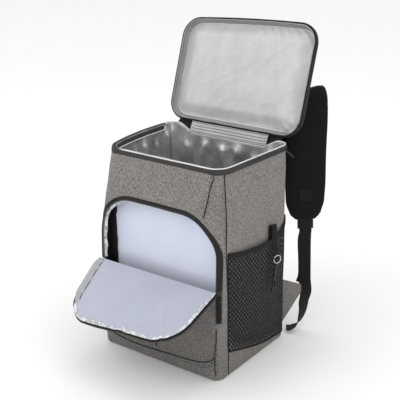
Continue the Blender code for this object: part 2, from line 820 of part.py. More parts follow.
def make_pocket_sides():
    """Dark inner faces of the pocket, beside its back wall."""
    heights = [between(HINGE_HEIGHT, OPENING_TOP - OPENING_ROUND, i / 3) for i in range(4)]
    for side, sign in (("left", -1), ("right", 1)):
        x0 = sign * (HALF_WIDTH - WALL - GAP * 2 - LINING)
        x1 = sign * (HALF_WIDTH - WALL - GAP * 2)
        rings = []
        for z in heights:
            low = front(z) + WALL + corner(z, WALL) + GAP
            high = DIVIDER_FRONT - GAP
            rings.append([settle(x, y, z) for x, y in
                          ((x0, low), (x1, low), (x1, high), (x0, high))])
        skin(f"pocket_side_{side}", rings, "black")


def on_side(sign, y, z, lift):
    """A point on a side of the bag or its back corner, lifted off the surface."""
    start = BACK - CORNER
    if y <= start:
        return settle(sign * (HALF_WIDTH + lift), y, z)
    turn = math.asin(min((y - start) / CORNER, 1.0))
    out = CORNER + lift
    x = HALF_WIDTH - CORNER + out * math.cos(turn)
    return settle(sign * x, start + out * math.sin(turn), z)


def mesh_stand(along, up):
    """How far the mesh stands off at a place along it and a share of its height."""
    across = math.sin(math.pi * min(max(along, 0.0), 1.0)) ** 0.8
    rise = ease(up / 0.35) * (1 - 0.35 * ease((up - 0.6) / 0.4))
    return GAP + MESH_STAND * across * rise


def mesh_point(sign, along, up, lift=0.0):
    rows = named_rows(MESH_COLUMNS, MESH_SHAPE)
    y = between(-BACK + MESH_FRONT * BODY_DEPTH, BACK - MESH_BACK * BODY_DEPTH, along)
    foot = read(rows, "along", "foot", along) * BODY_HEIGHT
    top = read(rows, "along", "hem", along) * BODY_HEIGHT
    z = between(foot, top, up)
    return on_side(sign, y, z, mesh_stand(along, up) + lift)


def make_mesh_pocket(side, sign):
    ends = (MESH_FRONT * BODY_DEPTH, BODY_DEPTH * (1 - MESH_BACK))
    bend = (BODY_DEPTH - CORNER - ends[0]) / (ends[1] - ends[0])
    places = [bend * i / 10 for i in range(11)]
    places += [between(bend, 1.0, i / 3) for i in range(1, 4)]
    hem_share = HEM_HEIGHT / (0.52 * BODY_HEIGHT)
    heights = (0.0, 0.12, 0.26, 0.42, 0.60, 0.80, 1 - hem_share)
    grid = [[mesh_point(sign, a, up) for a in places] for up in heights]
    outward = sign if grid_normals(grid)[2][5].x > 0 else -sign
    sheet(f"mesh_pocket_{side}", grid, MESH * outward, "mesh")
    hem_low = 1 - hem_share + GAP / (0.5 * BODY_HEIGHT)
    hem = [[mesh_point(sign, a, up) for a in places] for up in (hem_low, 1.0)]
    sheet(f"mesh_hem_{side}", hem, HEM * outward, "black")


def make_opener():
    """Webbing loop over the hem of the right mesh pocket, with a ring and a bar."""
    hem = mesh_point(1, LOOP_PLACE, 1.0)
    inside = HALF_WIDTH * shape("right_back", hem.z)
    middle = (hem.x + inside) / 2
    outer = hem.x + HEM + GAP * 5 + LOOP / 2
    foot = inside + MESH_STAND + MESH + GAP * 3 + OPENER / 2
    half = (outer - middle) / 2
    points = [Vector((middle, hem.y, hem.z - LOOP_DROP * 0.35)), Vector((middle, hem.y, hem.z))]
    for i in range(7):
        turn = math.pi * i / 6
        swell = 1 + 0.5 * math.sin(turn)
        points.append(Vector(((middle + outer) / 2 - half * swell * math.cos(turn), hem.y,
                              hem.z + LOOP_RISE * (0.45 + 0.55 * math.sin(turn)))))
    points += [Vector((outer, hem.y, hem.z - HEM_HEIGHT)),
               Vector((max(foot, outer), hem.y, hem.z - LOOP_DROP * 0.7)),
               Vector((max(foot, outer), hem.y, hem.z - LOOP_DROP))]
    count = len(points)
    across = [Vector((0, 1, 0))] * count
    strap("opener_loop", points, across, [LOOP_WIDTH] * count, [LOOP] * count, "black")
    end = points[-1]
    ring_middle = end - Vector((0, 0, GAP + RING_WIRE + RING_RADIUS))
    ring = [ring_middle + Vector((0, math.cos(t), math.sin(t))) * RING_RADIUS
            for t in (2 * math.pi * i / 12 for i in range(12))]
    wire("split_ring", ring, RING_WIRE, "steel", closed=True)
    low = ring_middle.z - RING_RADIUS - RING_WIRE - GAP
    tilt = math.radians(12)
    middle_drop = OPENER_LENGTH / 2 * math.cos(tilt) + GAP
    place = (end.x, end.y - OPENER_LENGTH / 2 * math.sin(tilt), low - middle_drop)
    block("bottle_opener", (OPENER, OPENER_WIDTH, OPENER_LENGTH), place, (-tilt, 0, 0),
          "black_metal", OPENER * 0.3)


def route(rows):
    """A strap's path from its table of shares."""
    return [Vector((row["sideways"] * HALF_WIDTH, BACK + row["behind"] * BODY_DEPTH,
                    row["height"] * BODY_HEIGHT)) for row in rows]


def heading(degrees):
    turn = math.radians(degrees)
    return Vector((math.cos(turn), math.sin(turn), 0))


def make_strap(side, pad_rows, webbing_rows, tail_rows):
    rows = named_rows(PAD_COLUMNS, pad_rows)
    steps = 2
    turns = smooth_values([row["turn"] for row in rows], steps)
    widths = [PAD_WIDTH * w for w in smooth_values([row["width"] for row in rows], steps)]
    thick = [PAD * t for t in smooth_values([row["thick"] for row in rows], steps)]
    path = smooth_path(route(rows), steps)
    path = [Vector((p.x, max(p.y, BACK + GAP * 2 + t / 2), p.z)) for p, t in zip(path, thick)]
    strap(f"shoulder_pad_{side}", path, [heading(t) for t in turns], widths, thick, "black",
          edge=PAD * 0.35)

    end, before = path[-1], path[-2]
    down = (end - before).normalized()
    wide = heading(turns[-1])
    wide = (wide - down * wide.dot(down)).normalized()
    lock_middle = end + down * (GAP + LOCK_HEIGHT / 2)
    face = wide.cross(down)
    strap(f"ladder_lock_{side}", [end + down * GAP, end + down * (GAP + LOCK_HEIGHT)],
          [wide, wide], [WEBBING_WIDTH * 1.3] * 2, [LOCK] * 2, "black")
    lock_end = lock_middle + down * (LOCK_HEIGHT / 2 + GAP)

    columns = named_rows(WEBBING_COLUMNS, webbing_rows)
    forward = -face if face.y > 0 else face
    start = lock_end + forward * (WEBBING / 2 + GAP)
    points = [start + down * WEBBING_WIDTH * 0.2] + route(columns)
    turns = [turns[-1]] + [row["turn"] for row in columns]
    line = [start] + smooth_path(points, 3)
    across = [heading(t) for t in turns[:1] + smooth_values(turns, 3)]
    strap(f"strap_webbing_{side}", line, across, [WEBBING_WIDTH] * len(line),
          [WEBBING] * len(line), "black")
    columns = named_rows(WEBBING_COLUMNS, tail_rows)
    start = lock_end - forward * (WEBBING / 2 + GAP)
    points = [start + down * WEBBING_WIDTH * 0.2] + route(columns)
    turns = [turns[0]] + [row["turn"] for row in columns]
    tail = [start] + smooth_path(points, 2)
    across = [heading(t) for t in turns[:1] + smooth_values(turns, 2)]
    strap(f"webbing_tail_{side}", tail, across, [WEBBING_WIDTH] * len(tail),
          [WEBBING] * len(tail), "black")
    make_wing(side, line[-1], (line[-1] - line[-2]).normalized())


def make_wing(side, tip, along):
    """A triangle of cloth from the bag's back corner to the webbing's end."""
    sign = 1 if side == "right" else -1
    low, high = WING_FOOT * BODY_HEIGHT, WING_TOP * BODY_HEIGHT
    seam_y = BACK - CORNER * 0.15
    end = tip + along * (GAP * 2 + WING) + Vector((0, 0, WEBBING_WIDTH * 0.35 * (1 + along.z)))
    grid = []
    steps = 6
    for i in range(steps + 1):
        share = i / steps
        seam = on_side(sign, seam_y, between(low, high, share), GAP + WING)
        reach = end + Vector((0, 0, between(-WEBBING_WIDTH * 0.7, 0, share)))
        grid.append([seam + (reach - seam) * s for s in (0, 0.35, 0.7, 1)])
    facing = 1 if grid_normals(grid)[2][1].y > 0 else -1
    sheet(f"wing_{side}", grid, WING * facing, "melange")


def make_sliders():
    zip_x = OPENING_HALF + ZIP_WIDTH / 2
    top = on_front(zip_x, HINGE_HEIGHT, GAP * 3 + ZIP + SLIDER * 0.25)
    outward = Vector((1, -1, 0)).normalized()
    turn = (0, 0, math.radians(45))
    body = top + outward * SLIDER * 0.1
    body.z = flap_foot() - SLIDER * 0.6 - ZIP * 2
    size = (SLIDER * 0.8, SLIDER * 0.5, SLIDER * 1.1)
    block("pocket_slider", size, body, turn, "black_metal", SLIDER * 0.1)
    hang = body - Vector((0, 0, SLIDER * 0.55 + GAP + PULL_LENGTH / 2))
    block("pocket_pull", (PULL_WIDTH, PULL, PULL_LENGTH), hang, turn, "black", PULL * 0.3)
    rim = wall_loop(BODY_HEIGHT - BAND_HEIGHT / 2, -(GAP * 2 + BAND))
    out = SLIDER * 0.245
    for side, sign in (("right", 1), ("left", -1)):
        nearest = max(rim, key=lambda p: p.x * sign + p.y * 0.7)
        place = nearest + Vector((out * sign, out * 0.6, 0))
        block(f"lid_slider_{side}", (SLIDER * 0.5, SLIDER, SLIDER * 0.8), place,
              (0, 0, math.radians(30 * sign)), "black_metal", SLIDER * 0.1)
        if side == "right":
            start = place - Vector((0, 0, SLIDER * 0.4 + GAP * 5))
            fall = Vector((0.45, 0.42, -0.85)) * TAB_LENGTH
            strap("lid_pull_right", [start, start + fall * 0.5, start + fall],
                  [Vector((1, -1, 0))] * 3, [PULL_WIDTH] * 3, [PULL] * 3, "black")


PIECES = (make_body_shell, make_main_lining, make_pocket_back_wall, make_rim, make_lid,
          make_hinge_strip, make_front_panel, make_flap, make_opening_zipper,
          make_pocket_sides, make_opener)


def main():
    for old in list(bpy.data.objects):
        bpy.data.objects.remove(old)
    for name in ("Cooler backpack", "Cutters"):
        group = bpy.data.collections.get(name) or bpy.data.collections.new(name)
        if group.name not in bpy.context.scene.collection.children:
            bpy.context.scene.collection.children.link(group)
    for make in PIECES:
        make()
    make_mesh_pocket("right", 1)
    make_mesh_pocket("left", -1)
    make_strap("right", PAD_RIGHT, WEBBING_RIGHT, TAIL_RIGHT)
    make_strap("left", PAD_LEFT, WEBBING_LEFT, TAIL_LEFT)
    make_sliders()


main()
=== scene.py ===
"""Cooler backpack standing open, dressed in cloth, silver lining, mesh, webbing and zippers
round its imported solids. Metres, +Z up, front towards -Y."""
import math
from types import SimpleNamespace

import bmesh
import bpy
from bpy.props import FloatProperty, FloatVectorProperty, PointerProperty
from mathutils import Matrix, Vector, noise


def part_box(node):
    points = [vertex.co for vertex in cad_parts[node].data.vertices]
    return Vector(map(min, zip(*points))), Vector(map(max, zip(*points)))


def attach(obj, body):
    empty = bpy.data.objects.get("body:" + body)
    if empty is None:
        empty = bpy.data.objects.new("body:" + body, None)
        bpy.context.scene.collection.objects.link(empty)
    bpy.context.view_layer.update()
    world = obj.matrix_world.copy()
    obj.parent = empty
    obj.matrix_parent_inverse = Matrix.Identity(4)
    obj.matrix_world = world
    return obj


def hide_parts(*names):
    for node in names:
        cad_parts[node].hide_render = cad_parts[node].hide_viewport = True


bl_info = {
    "name": "Cooler backpack",
    "version": (1, 0, 0),
    "blender": (4, 5, 0),
    "location": "3D View > Sidebar > Bag",
    "description": "Models an open cooler backpack with its flap, lid, pockets and straps",
    "category": "Add Mesh",
}

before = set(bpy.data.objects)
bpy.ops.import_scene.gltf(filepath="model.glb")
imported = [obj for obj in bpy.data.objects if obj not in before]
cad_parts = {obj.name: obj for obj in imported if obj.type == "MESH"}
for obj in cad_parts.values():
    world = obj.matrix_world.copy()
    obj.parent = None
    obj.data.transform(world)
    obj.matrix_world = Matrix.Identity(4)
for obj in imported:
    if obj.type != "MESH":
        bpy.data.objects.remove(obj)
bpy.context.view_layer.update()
BAG_LOW, BAG_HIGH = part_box("body_shell")
P = SimpleNamespace()  # the sizes in use, filled by take_sizes

# Shape of the bag by height: widths are shares of the half width at the front and back
# of each side, pocket is a share of the pocket's depth, corner is in corners.
SHAPE_COLUMNS = ("height", "left_front", "left_back", "right_front", "right_back",
                 "pocket", "corner", "left_bow")
SHAPE = (
    (0.00, 1.000, 1.000, 1.000, 1.000, 1.00, 0.90, 0.00),
    (0.12, 1.004, 1.004, 1.004, 1.000, 1.00, 0.75, 0.00),
    (0.28, 1.006, 1.004, 1.004, 0.998, 0.95, 0.68, 0.02),
    (0.44, 1.002, 1.004, 1.002, 1.006, 0.89, 0.66, 0.06),
    (0.60, 1.000, 1.002, 1.000, 1.012, 0.86, 0.85, 0.14),
    (0.70, 0.994, 1.000, 0.994, 1.020, 0.84, 1.35, 0.26),
    (0.785, 0.975, 0.998, 0.980, 1.026, 0.77, 1.75, 0.44),
    (0.90, 0.912, 0.994, 0.945, 1.028, 0.42, 1.60, 0.78),
    (1.00, 0.850, 0.986, 0.912, 1.018, 0.01, 1.40, 1.00),
)

# Folds of the lining: place round the rim from the middle of the front, depth, width,
# drift on the way down, and how far down the fold starts and ends.
FOLD_COLUMNS = ("place", "depth", "width", "drift", "start", "end")
FOLDS = (
    (0.09, 0.30, 0.020, 0.01, 0.00, 1.0),
    (0.21, 0.45, 0.016, -0.01, 0.00, 1.0),
    (0.30, 0.35, 0.014, 0.01, 0.00, 0.8),
    (0.385, 0.50, 0.010, -0.03, 0.02, 0.7),
    (0.415, 0.60, 0.008, 0.02, 0.00, 0.6),
    (0.445, 0.55, 0.009, -0.02, 0.03, 0.8),
    (0.475, 0.70, 0.008, 0.03, 0.00, 0.7),
    (0.505, 0.60, 0.010, -0.02, 0.01, 0.7),
    (0.540, 0.75, 0.009, 0.04, 0.00, 0.9),
    (0.575, 0.60, 0.012, 0.03, 0.04, 1.0),
    (0.622, 1.00, 0.010, 0.01, 0.00, 1.0),
    (0.650, 0.80, 0.008, -0.01, 0.00, 1.0),
    (0.690, 0.75, 0.012, -0.03, 0.02, 0.9),
    (0.735, 0.70, 0.012, 0.02, 0.00, 0.8),
    (0.775, 0.50, 0.010, -0.02, 0.03, 0.8),
    (0.815, 0.40, 0.014, 0.01, 0.00, 1.0),
    (0.920, 0.25, 0.020, 0.01, 0.00, 1.0),
)
# Share of the height below the rim that the turned-in tape keeps free of folds
UNDER_TAPE = 0.036

# Rim tape's section: inset and rise of the upright tape, then of the part turned inwards
RIM_PROFILE = (
    (0.0008, -0.0098, 0.0008, -0.0098),
    (0.0000, -0.0094, 0.0000, -0.0094),
    (0.0000, -0.0050, 0.0000, -0.0050),
    (0.0002, -0.0010, 0.0002, -0.0010),
    (0.0008, 0.0006, 0.0014, 0.0010),
    (0.0016, 0.0010, 0.0052, 0.0008),
    (0.0021, 0.0006, 0.0088, -0.0030),
    (0.0023, 0.0002, 0.0100, -0.0072),
    (0.0024, -0.0002, 0.0108, -0.0106),
)

# Soft creases of the flap: place, lean and where they start, in metres from the fold
FLAP_CREASES = ((-0.040, 0.35, 0.045), (0.015, 0.75, 0.030), (0.060, -0.30, 0.060))

# Mesh pocket from its front seam to its back seam: hem and foot in shares of the height.
MESH_COLUMNS = ("along", "hem", "foot")
MESH_SHAPE = (
    (0.00, 0.620, 0.130),
    (0.20, 0.601, 0.100),
    (0.45, 0.588, 0.062),
    (0.65, 0.584, 0.044),
    (0.85, 0.590, 0.034),
    (0.93, 0.613, 0.032),
    (1.00, 0.650, 0.032),
)

# Seams of the bag. On the front by x and z, on the right side by y and z, both as shares
# of the half width or depth and of the height.
SEAM_LEAN = ((0.905, 0.982), (0.893, 0.955), (0.864, 0.928), (0.834, 0.873), (0.772, 0.790))
SEAM_CORNER = ((-0.700, 0.982), (-0.712, 0.955), (-0.725, 0.890), (-0.745, 0.817), (-0.765, 0.712),
               (-0.775, 0.594), (-0.757, 0.395), (-0.752, 0.293), (-0.745, 0.144),
               (-0.740, 0.012))
SEAM_SIDE = ((0.949, 0.268), (0.946, 0.192), (0.942, 0.130), (0.937, 0.030))
SEAM_BOTTOM = ((-0.905, 0.105), (-0.860, 0.077), (-0.597, 0.058), (-0.363, 0.053),
               (-0.006, 0.060), (0.288, 0.066), (0.597, 0.073), (0.760, 0.085),
               (0.880, 0.106), (0.931, 0.128))
SEAM_STITCH = ((-0.024, 0.113), (-0.027, 0.081))

# Shoulder straps: sideways is a share of the half width, behind of the depth, height of
# the height; turn is where the width points; width and thick are shares of the pad's.
PAD_COLUMNS = ("sideways", "behind", "height", "turn", "width", "thick")
PADS = {
    "right": (
        (0.405, 0.000, 0.800, 0, 0.80, 0.5),
        (0.405, 0.000, 0.850, 0, 0.85, 0.5),
        (0.430, 0.085, 0.918, 5, 0.95, 0.9),
        (0.500, 0.262, 1.010, 15, 1.00, 1.0),
        (0.620, 0.400, 1.110, 26, 0.98, 1.0),
        (0.750, 0.440, 1.180, 32, 0.96, 1.0),
        (0.865, 0.420, 1.180, 35, 0.95, 1.0),
        (0.950, 0.350, 1.090, 37, 0.97, 1.0),
        (1.030, 0.248, 0.940, 37, 0.99, 1.0),
        (1.078, 0.200, 0.790, 37, 0.99, 1.0),
        (1.088, 0.190, 0.690, 37, 0.95, 1.0),
        (1.098, 0.188, 0.630, 37, 0.76, 0.9),
        (1.102, 0.188, 0.600, 37, 0.50, 0.7),
    ),
    "left": (
        (-0.405, 0.000, 0.800, 0, 0.80, 0.5),
        (-0.405, 0.000, 0.850, 0, 0.85, 0.5),
        (-0.410, 0.080, 0.905, 0, 0.95, 0.9),
        (-0.430, 0.200, 0.935, 0, 1.00, 1.0),
        (-0.455, 0.300, 0.880, 0, 1.00, 1.0),
        (-0.485, 0.330, 0.770, 0, 1.00, 1.0),
        (-0.520, 0.300, 0.640, 0, 1.00, 1.0),
        (-0.555, 0.245, 0.520, 0, 0.98, 1.0),
        (-0.580, 0.205, 0.450, 0, 0.86, 1.0),
        (-0.595, 0.185, 0.410, 0, 0.62, 0.9),
        (-0.600, 0.178, 0.390, 0, 0.50, 0.7),
    ),
}
WEBBING_COLUMNS = ("sideways", "behind", "height", "turn")
WEBBINGS = {
    "right": (
        (1.100, 0.176, 0.480, 34),
        (1.125, 0.168, 0.370, 30),
        (1.130, 0.163, 0.300, 24),
        (1.100, 0.158, 0.255, 16),
    ),
    "left": (
        (-0.680, 0.160, 0.275, 0),
        (-0.830, 0.148, 0.240, 0),
        (-0.960, 0.135, 0.228, 0),
    ),
}
TAILS = {
    "right": (
        (1.090, 0.207, 0.460, 34),
        (1.095, 0.209, 0.360, 32),
        (1.100, 0.212, 0.265, 34),
        (1.125, 0.210, 0.200, 52),
        (1.112, 0.192, 0.150, 66),
        (1.118, 0.165, 0.098, 82),
        (1.095, 0.118, 0.044, 100),
        (1.020, 0.072, 0.020, 118),
        (0.965, 0.050, 0.018, 125),
    ),
    "left": (
        (-0.606, 0.215, 0.290, 0),
        (-0.620, 0.225, 0.220, 0),
        (-0.640, 0.205, 0.150, 0),
        (-0.665, 0.185, 0.080, 0),
    ),
}

# Sizes that stay as the solids have them, in metres
GAP = 0.0003
WALL = 0.005
BASE_ROUND = 0.006
CORNER = 0.022
LEFT_BOW = 0.015
BACK_DIP = 0.018
DIVIDER = 0.004
LINING = 0.001
LINING_EASE = 0.0012
BAND_HEIGHT = 0.012
BAND = 0.0015
LID_OVERHANG = 0.011
LID_DEPTH = 0.021
LID_WALL = 0.004
LID_CORNER = 0.037
LID_ARCH = 0.004
LID_SKEW = 0.032
LID_RECESS = 0.013
LID_SHIFT = 0.003
LID_RISE = 0.010
LID_BEHIND = 0.008
OPENING_MARGIN = 0.008
OPENING_DROP = 0.090
OPENING_FOOT = 0.022
OPENING_ROUND = 0.078
FOOT_ROUND = 0.035
HINGE_HEIGHT = 0.192
FRONT_PANEL = 0.0045
PANEL_BULGE = 0.003
ZIP_WIDTH = 0.006
ZIP_END = 0.125
FLAP_PAD = 0.004
FLAP_OVERLAP = 0.005
FLAP_ROUND = 0.058
FLAP_LIP = 0.012
FLAP_DROOP_LEFT = 40
FLAP_DROOP_RIGHT = 22
FLAP_SKEW = 0.04
MESH_STAND = 0.012
MESH_FRONT = 0.13
MESH_BACK = 0.035
HEM_HEIGHT = 0.010
HEM = 0.002
LOOP_WIDTH = 0.013
LOOP = 0.0014
LOOP_RISE = 0.028
LOOP_DROP = 0.036
LOOP_PLACE = 0.70
RING_RADIUS = 0.0065
RING_WIRE = 0.0009
OPENER_LENGTH = 0.058
OPENER_WIDTH = 0.011
OPENER = 0.003
WEBBING = 0.0016
LOCK_HEIGHT = 0.022
LOCK = 0.005
WING = 0.0025
WING_TOP = 0.300
WING_FOOT = 0.050
SLIDER = 0.009
PULL_WIDTH = 0.008
PULL = 0.002

# Sizes of the visible cloth, in metres
THIN_CLOTH = 0.0006
TAPE_CLOTH = 0.0005
STOUT_CLOTH = 0.0008
SEAM_WIDTH = 0.0016
SEAM_STAND = 0.0012
LEAST_ROUND = 0.004
LEAST_HALF = 0.004

# Radii of pipings, coils, cords and stitches, in metres
RIM_PIPING = 0.0013
INNER_PIPING = 0.0009
OUTER_PIPING = 0.0012
COIL = 0.0011
FLAP_COIL = 0.0013
OPENING_COIL = 0.0015
NET_EDGE = 0.0011
PAD_BINDING = 0.0026
PATCH_STITCH = 0.0004
PULL_CORD = 0.0014

# Depths of rumples, creases and pillows, in metres
BROAD_RUMPLE = 0.0014
FINE_RUMPLE = 0.0007
LOW_RUMPLE = 0.0012
LOW_CREASE = 0.0016
LINING_CRUMPLE = 0.0016
LINING_GRAIN = 0.0006
LID_RUMPLE = 0.0018
LID_PILLOW = 0.0080
LID_SLACK = 0.0026
HINGE_CREASE = 0.0011
FLAP_RUMPLE = 0.0016
FLAP_CREASE = 0.0020

# Rounding of hard edges and of cut cloth, in metres, and the small parts of the fittings
PANEL_EDGE = 0.0012
CLOTH_EDGE = 0.0007
LOCK_EDGE = 0.0007
FINE_EDGE = 0.0005
PATCH_HALF = 0.013
CAP_HOLE = 0.0032
OPENER_EYE = 0.0015
OPENER_TILT = 12

# Net of the mesh pockets: cells across and up, the cloth that they span in metres, and the
# half width and height of a hole in cells
NET_CELLS = (42, 40)
NET_SPAN = (0.205, 0.21)
NET_HOLE = (0.62, 0.47)
NET_THREAD = 0.0005

# Painted shade: the outer cloth is painted darker towards the floor, where less light falls: its
# tone there, and the heights between which that tone fades
PAINTED_FLOOR_SHADE = 0.8
PAINTED_FLOOR_SHADE_HEIGHTS = (0.03, 0.24)
DIAGONAL = 0.785  # turn of the pads' spacer mesh, in radians

# Lights: name, place, size and power, all aimed at one point
LIGHTS = (
    ("key", (-1.6, -2.2, 2.6), 1.8, 20),
    ("right", (2.6, -0.6, 1.6), 1.6, 5),
    ("top", (0.1, 0.5, 2.6), 1.5, 8),
)
LIGHTS_AIM = (0, 0, 0.25)

# Camera of the photograph: turn to the right, rise and roll in degrees, place in metres,
# sensor and lens in millimetres
CAMERA_ANGLES = (36.814, 20.525, -0.894)
CAMERA_PLACE = (1.04609, -1.37219, 0.95412)
SENSOR_WIDTH = 36
FOCAL_LENGTH = 83.155


class BagSizes(bpy.types.PropertyGroup):
    """Sizes that a user would change."""
    height: FloatProperty(name="Height", description="From the base to the rim",
                          default=BAG_HIGH.z, min=0.2, max=0.7, unit="LENGTH")
    depth: FloatProperty(name="Depth", description="From front to back at the base",
                         default=BAG_HIGH.y - BAG_LOW.y, min=0.1, max=0.4, unit="LENGTH")
    width: FloatProperty(name="Width", description="From side to side at the base",
                         default=0.296, min=0.15, max=0.5, unit="LENGTH")
    pocket_depth: FloatProperty(name="Front pocket depth", default=0.031, min=0.01, max=0.08,
                                description="From the pocket's front to its back wall",
                                unit="LENGTH")
    lid_length: FloatProperty(name="Lid length", description="From the hinge to the free edge",
                              default=0.216, min=0.1, max=0.4, unit="LENGTH")
    lid_open: FloatProperty(name="Lid opening", description="Angle from closed",
                            default=math.radians(109), min=0, max=math.radians(180),
                            subtype="ANGLE")
    fold: FloatProperty(name="Lining folds", description="Depth of the deepest fold",
                        default=0.011, min=0, max=0.02, unit="LENGTH")
    pad_width: FloatProperty(name="Strap width", description="Width of the shoulder pads",
                             default=0.079, min=0.03, max=0.12, unit="LENGTH")
    pad: FloatProperty(name="Strap padding", description="Thickness of the shoulder pads",
                       default=0.012, min=0.004, max=0.03, unit="LENGTH")
    webbing_width: FloatProperty(name="Webbing width", description="Width of the webbing",
                                 default=0.025, min=0.01, max=0.05, unit="LENGTH")
    pull_length: FloatProperty(name="Pull length", default=0.043, min=0.01, max=0.08,
                               description="Length of the front zipper's pull", unit="LENGTH")


def colour(name, description, value):
    return FloatVectorProperty(name=name, description=description, default=value,
                               subtype="COLOR", size=3, min=0, max=1)


class BagColours(bpy.types.PropertyGroup):
    """Colours of the bag's cloths and fittings."""
    melange_light: colour("Light yarn", "Light yarn of the outer cloth", (0.335, 0.317, 0.302))
    melange_dark: colour("Dark yarn", "Dark yarn of the outer cloth", (0.092, 0.086, 0.081))
    silver: colour("Silver lining", "Lining of the bag and the lid", (0.56, 0.565, 0.58))
    lavender: colour("Pocket lining", "Pale lining of the front pocket", (0.56, 0.59, 0.70))
    tape: colour("Zipper tape", "Dark grey tape of the zippers", (0.047, 0.0455, 0.044))
    black: colour("Black cloth", "Pads, webbing and bindings", (0.011, 0.011, 0.012))
    fray: colour("Raw edge", "Pale raw edges of the pocket lining", (0.62, 0.63, 0.65))


def take_sizes():
    """Copies the sizes into P, with what follows from them."""
    sizes = bpy.context.scene.bag_sizes
    for key in BagSizes.__annotations__:
        setattr(P, key, getattr(sizes, key))
    P.half_width = P.width / 2
    P.back = P.depth / 2
    P.divider_front = P.pocket_depth - P.depth / 2
    P.divider_back = P.divider_front + DIVIDER
    P.opening_half = P.half_width - OPENING_MARGIN
    P.opening_top = P.height - OPENING_DROP


def named_rows(columns, rows):
    return [dict(zip(columns, row)) for row in rows]


SHAPE_ROWS = named_rows(SHAPE_COLUMNS, SHAPE)
FOLD_ROWS = named_rows(FOLD_COLUMNS, FOLDS)
MESH_ROWS = named_rows(MESH_COLUMNS, MESH_SHAPE)


def between(a, b, share):
    return a + (b - a) * share


def ease(share):
    """Smooth step from 0 to 1."""
    share = min(max(share, 0.0), 1.0)
    return share * share * (3 - 2 * share)


def steps_from(a, b, count):
    """Values from a to b in count equal steps, both ends included."""
    return [between(a, b, i / count) for i in range(count + 1)]


def read(rows, key, column, at):
    """Value of a column at a place in a table, between its rows."""
    for low, high in zip(rows, rows[1:]):
        if at <= high[key]:
            share = max(0.0, (at - low[key]) / (high[key] - low[key]))
            return between(low[column], high[column], share)
    return rows[-1][column]


def shape(column, z):
    return read(SHAPE_ROWS, "height", column, z / P.height)


def rumple(x, y, z, scale, seed=0.0):
    """Even noise from -1 to 1; the scale is in bumps for each metre."""
    return noise.noise(Vector((x * scale + seed, y * scale - seed, z * scale + seed * 2)))


def front(z):
    """Place in y of the bag's front at a height."""
    rim_front = P.divider_front - GAP - WALL
    return rim_front - shape("pocket", z) * (rim_front + P.depth / 2)


def corner(z, inset=0.0):
    return max(CORNER * shape("corner", z) - inset, CORNER * 0.1)


def settle(x, y, z):
    """Moves a point of the square bag to where it lies on the bag as it stands open."""
    along = (y + P.back) / P.depth
    side = "left" if x < 0 else "right"
    width = between(shape(side + "_front", z), shape(side + "_back", z), along)
    if x < 0:
        width += LEFT_BOW / P.half_width * shape("left_bow", z) * 4 * along * (1 - along)
    return Vector((x * width, y, z))


def dip(x, y, z):
    """How far the rim's back edge sags at a place."""
    near_rim = ease((z / P.height - 0.8) / 0.2)
    near_back = ease((y - (P.back - CORNER)) / (CORNER * 0.5))
    inside_corners = ease((P.half_width - CORNER - abs(x)) / (CORNER * 2))
    return BACK_DIP * near_rim * near_back * inside_corners


def puff(x, y, z):
    """How far the outer cloth stands off its plain form at a place."""
    fade = ease((P.height - 0.016 - z) / 0.05) * ease(z / 0.03)
    soft = rumple(x, y, z, 13, 3) * BROAD_RUMPLE + rumple(x, y, z * 0.4, 34, 8) * FINE_RUMPLE
    low = ease((0.13 - z) / 0.10) * ease((x - 0.03) / 0.06)
    soft += low * rumple(x - z * 0.7, y, z + x * 0.7, 55, 2) * LOW_RUMPLE
    crease = math.exp(-((z - 0.028 - (x - 0.10) * 0.9) / 0.006) ** 2) * ease((x - 0.085) / 0.03)
    return fade * (soft - crease * LOW_CREASE * ease((0.09 - z) / 0.04))


def plan_ring(left, right, low, high, low_round, high_round, steps, arc):
    """Points and outward normals of a rounded outline in plan, from the middle of its back."""
    corners = (
        (right - low_round, low + low_round, low_round, -90),
        (right - high_round, high - high_round, high_round, 0),
        (left + high_round, high - high_round, high_round, 90),
        (left + low_round, low + low_round, low_round, 180),
    )
    arcs = []
    for x, y, radius, start in corners:
        turns = [math.radians(t) for t in steps_from(start, start + 90, arc)]
        arcs.append([(x + radius * math.cos(t), y + radius * math.sin(t),
                      math.cos(t), math.sin(t)) for t in turns])
    points = []
    for found, following in zip(arcs, arcs[1:] + arcs[:1]):
        points += found
        a, b = found[-1], following[0]
        points += [tuple(between(p, q, i / steps) for p, q in zip(a, b))
                   for i in range(1, steps)]
    first = 2 * (arc + 1) + (steps - 1) + steps // 2 - 1
    return points[first:] + points[:first]


RING_STEPS, RING_ARC, BODY_ROWS = 26, 8, 62


def wall_ring(z, inset=0.0, low=None, drop=0.0, loosen=puff, steps=RING_STEPS, arc=RING_ARC):
    """The bag's outline at a height, inset from its outer face."""
    start = front(z) + inset if low is None else low
    half = P.half_width - inset
    ring = plan_ring(-half, half, start, P.back - inset, corner(z, inset),
                     max(CORNER - inset, CORNER * 0.1), steps, arc)
    face = plan_ring(-P.half_width, P.half_width, front(z), P.back, corner(z), CORNER, steps, arc)
    made = []
    for (x, y, nx, ny), (fx, fy, _, _) in zip(ring, face):
        push = loosen(fx, fy, z) if loosen else 0.0
        point = settle(x + nx * push, y + ny * push, z + drop)
        point.z -= dip(fx, fy, z)
        made.append(point)
    return made


def ring_lengths(ring):
    """Distance along a closed ring at each of its points and back at the first."""
    total, made = 0.0, [0.0]
    for a, b in zip(ring, ring[1:] + ring[:1]):
        total += (b - a).length
        made.append(total)
    return made


def activate(obj):
    bpy.ops.object.select_all(action="DESELECT")
    obj.select_set(True)
    bpy.context.view_layer.objects.active = obj


def apply(obj, kind, **settings):
    """Adds a modifier and applies it."""
    activate(obj)
    modifier = obj.modifiers.new(kind.title(), kind)
    for key, value in settings.items():
        setattr(modifier, key, value)
    bpy.ops.object.modifier_apply(modifier=modifier.name)


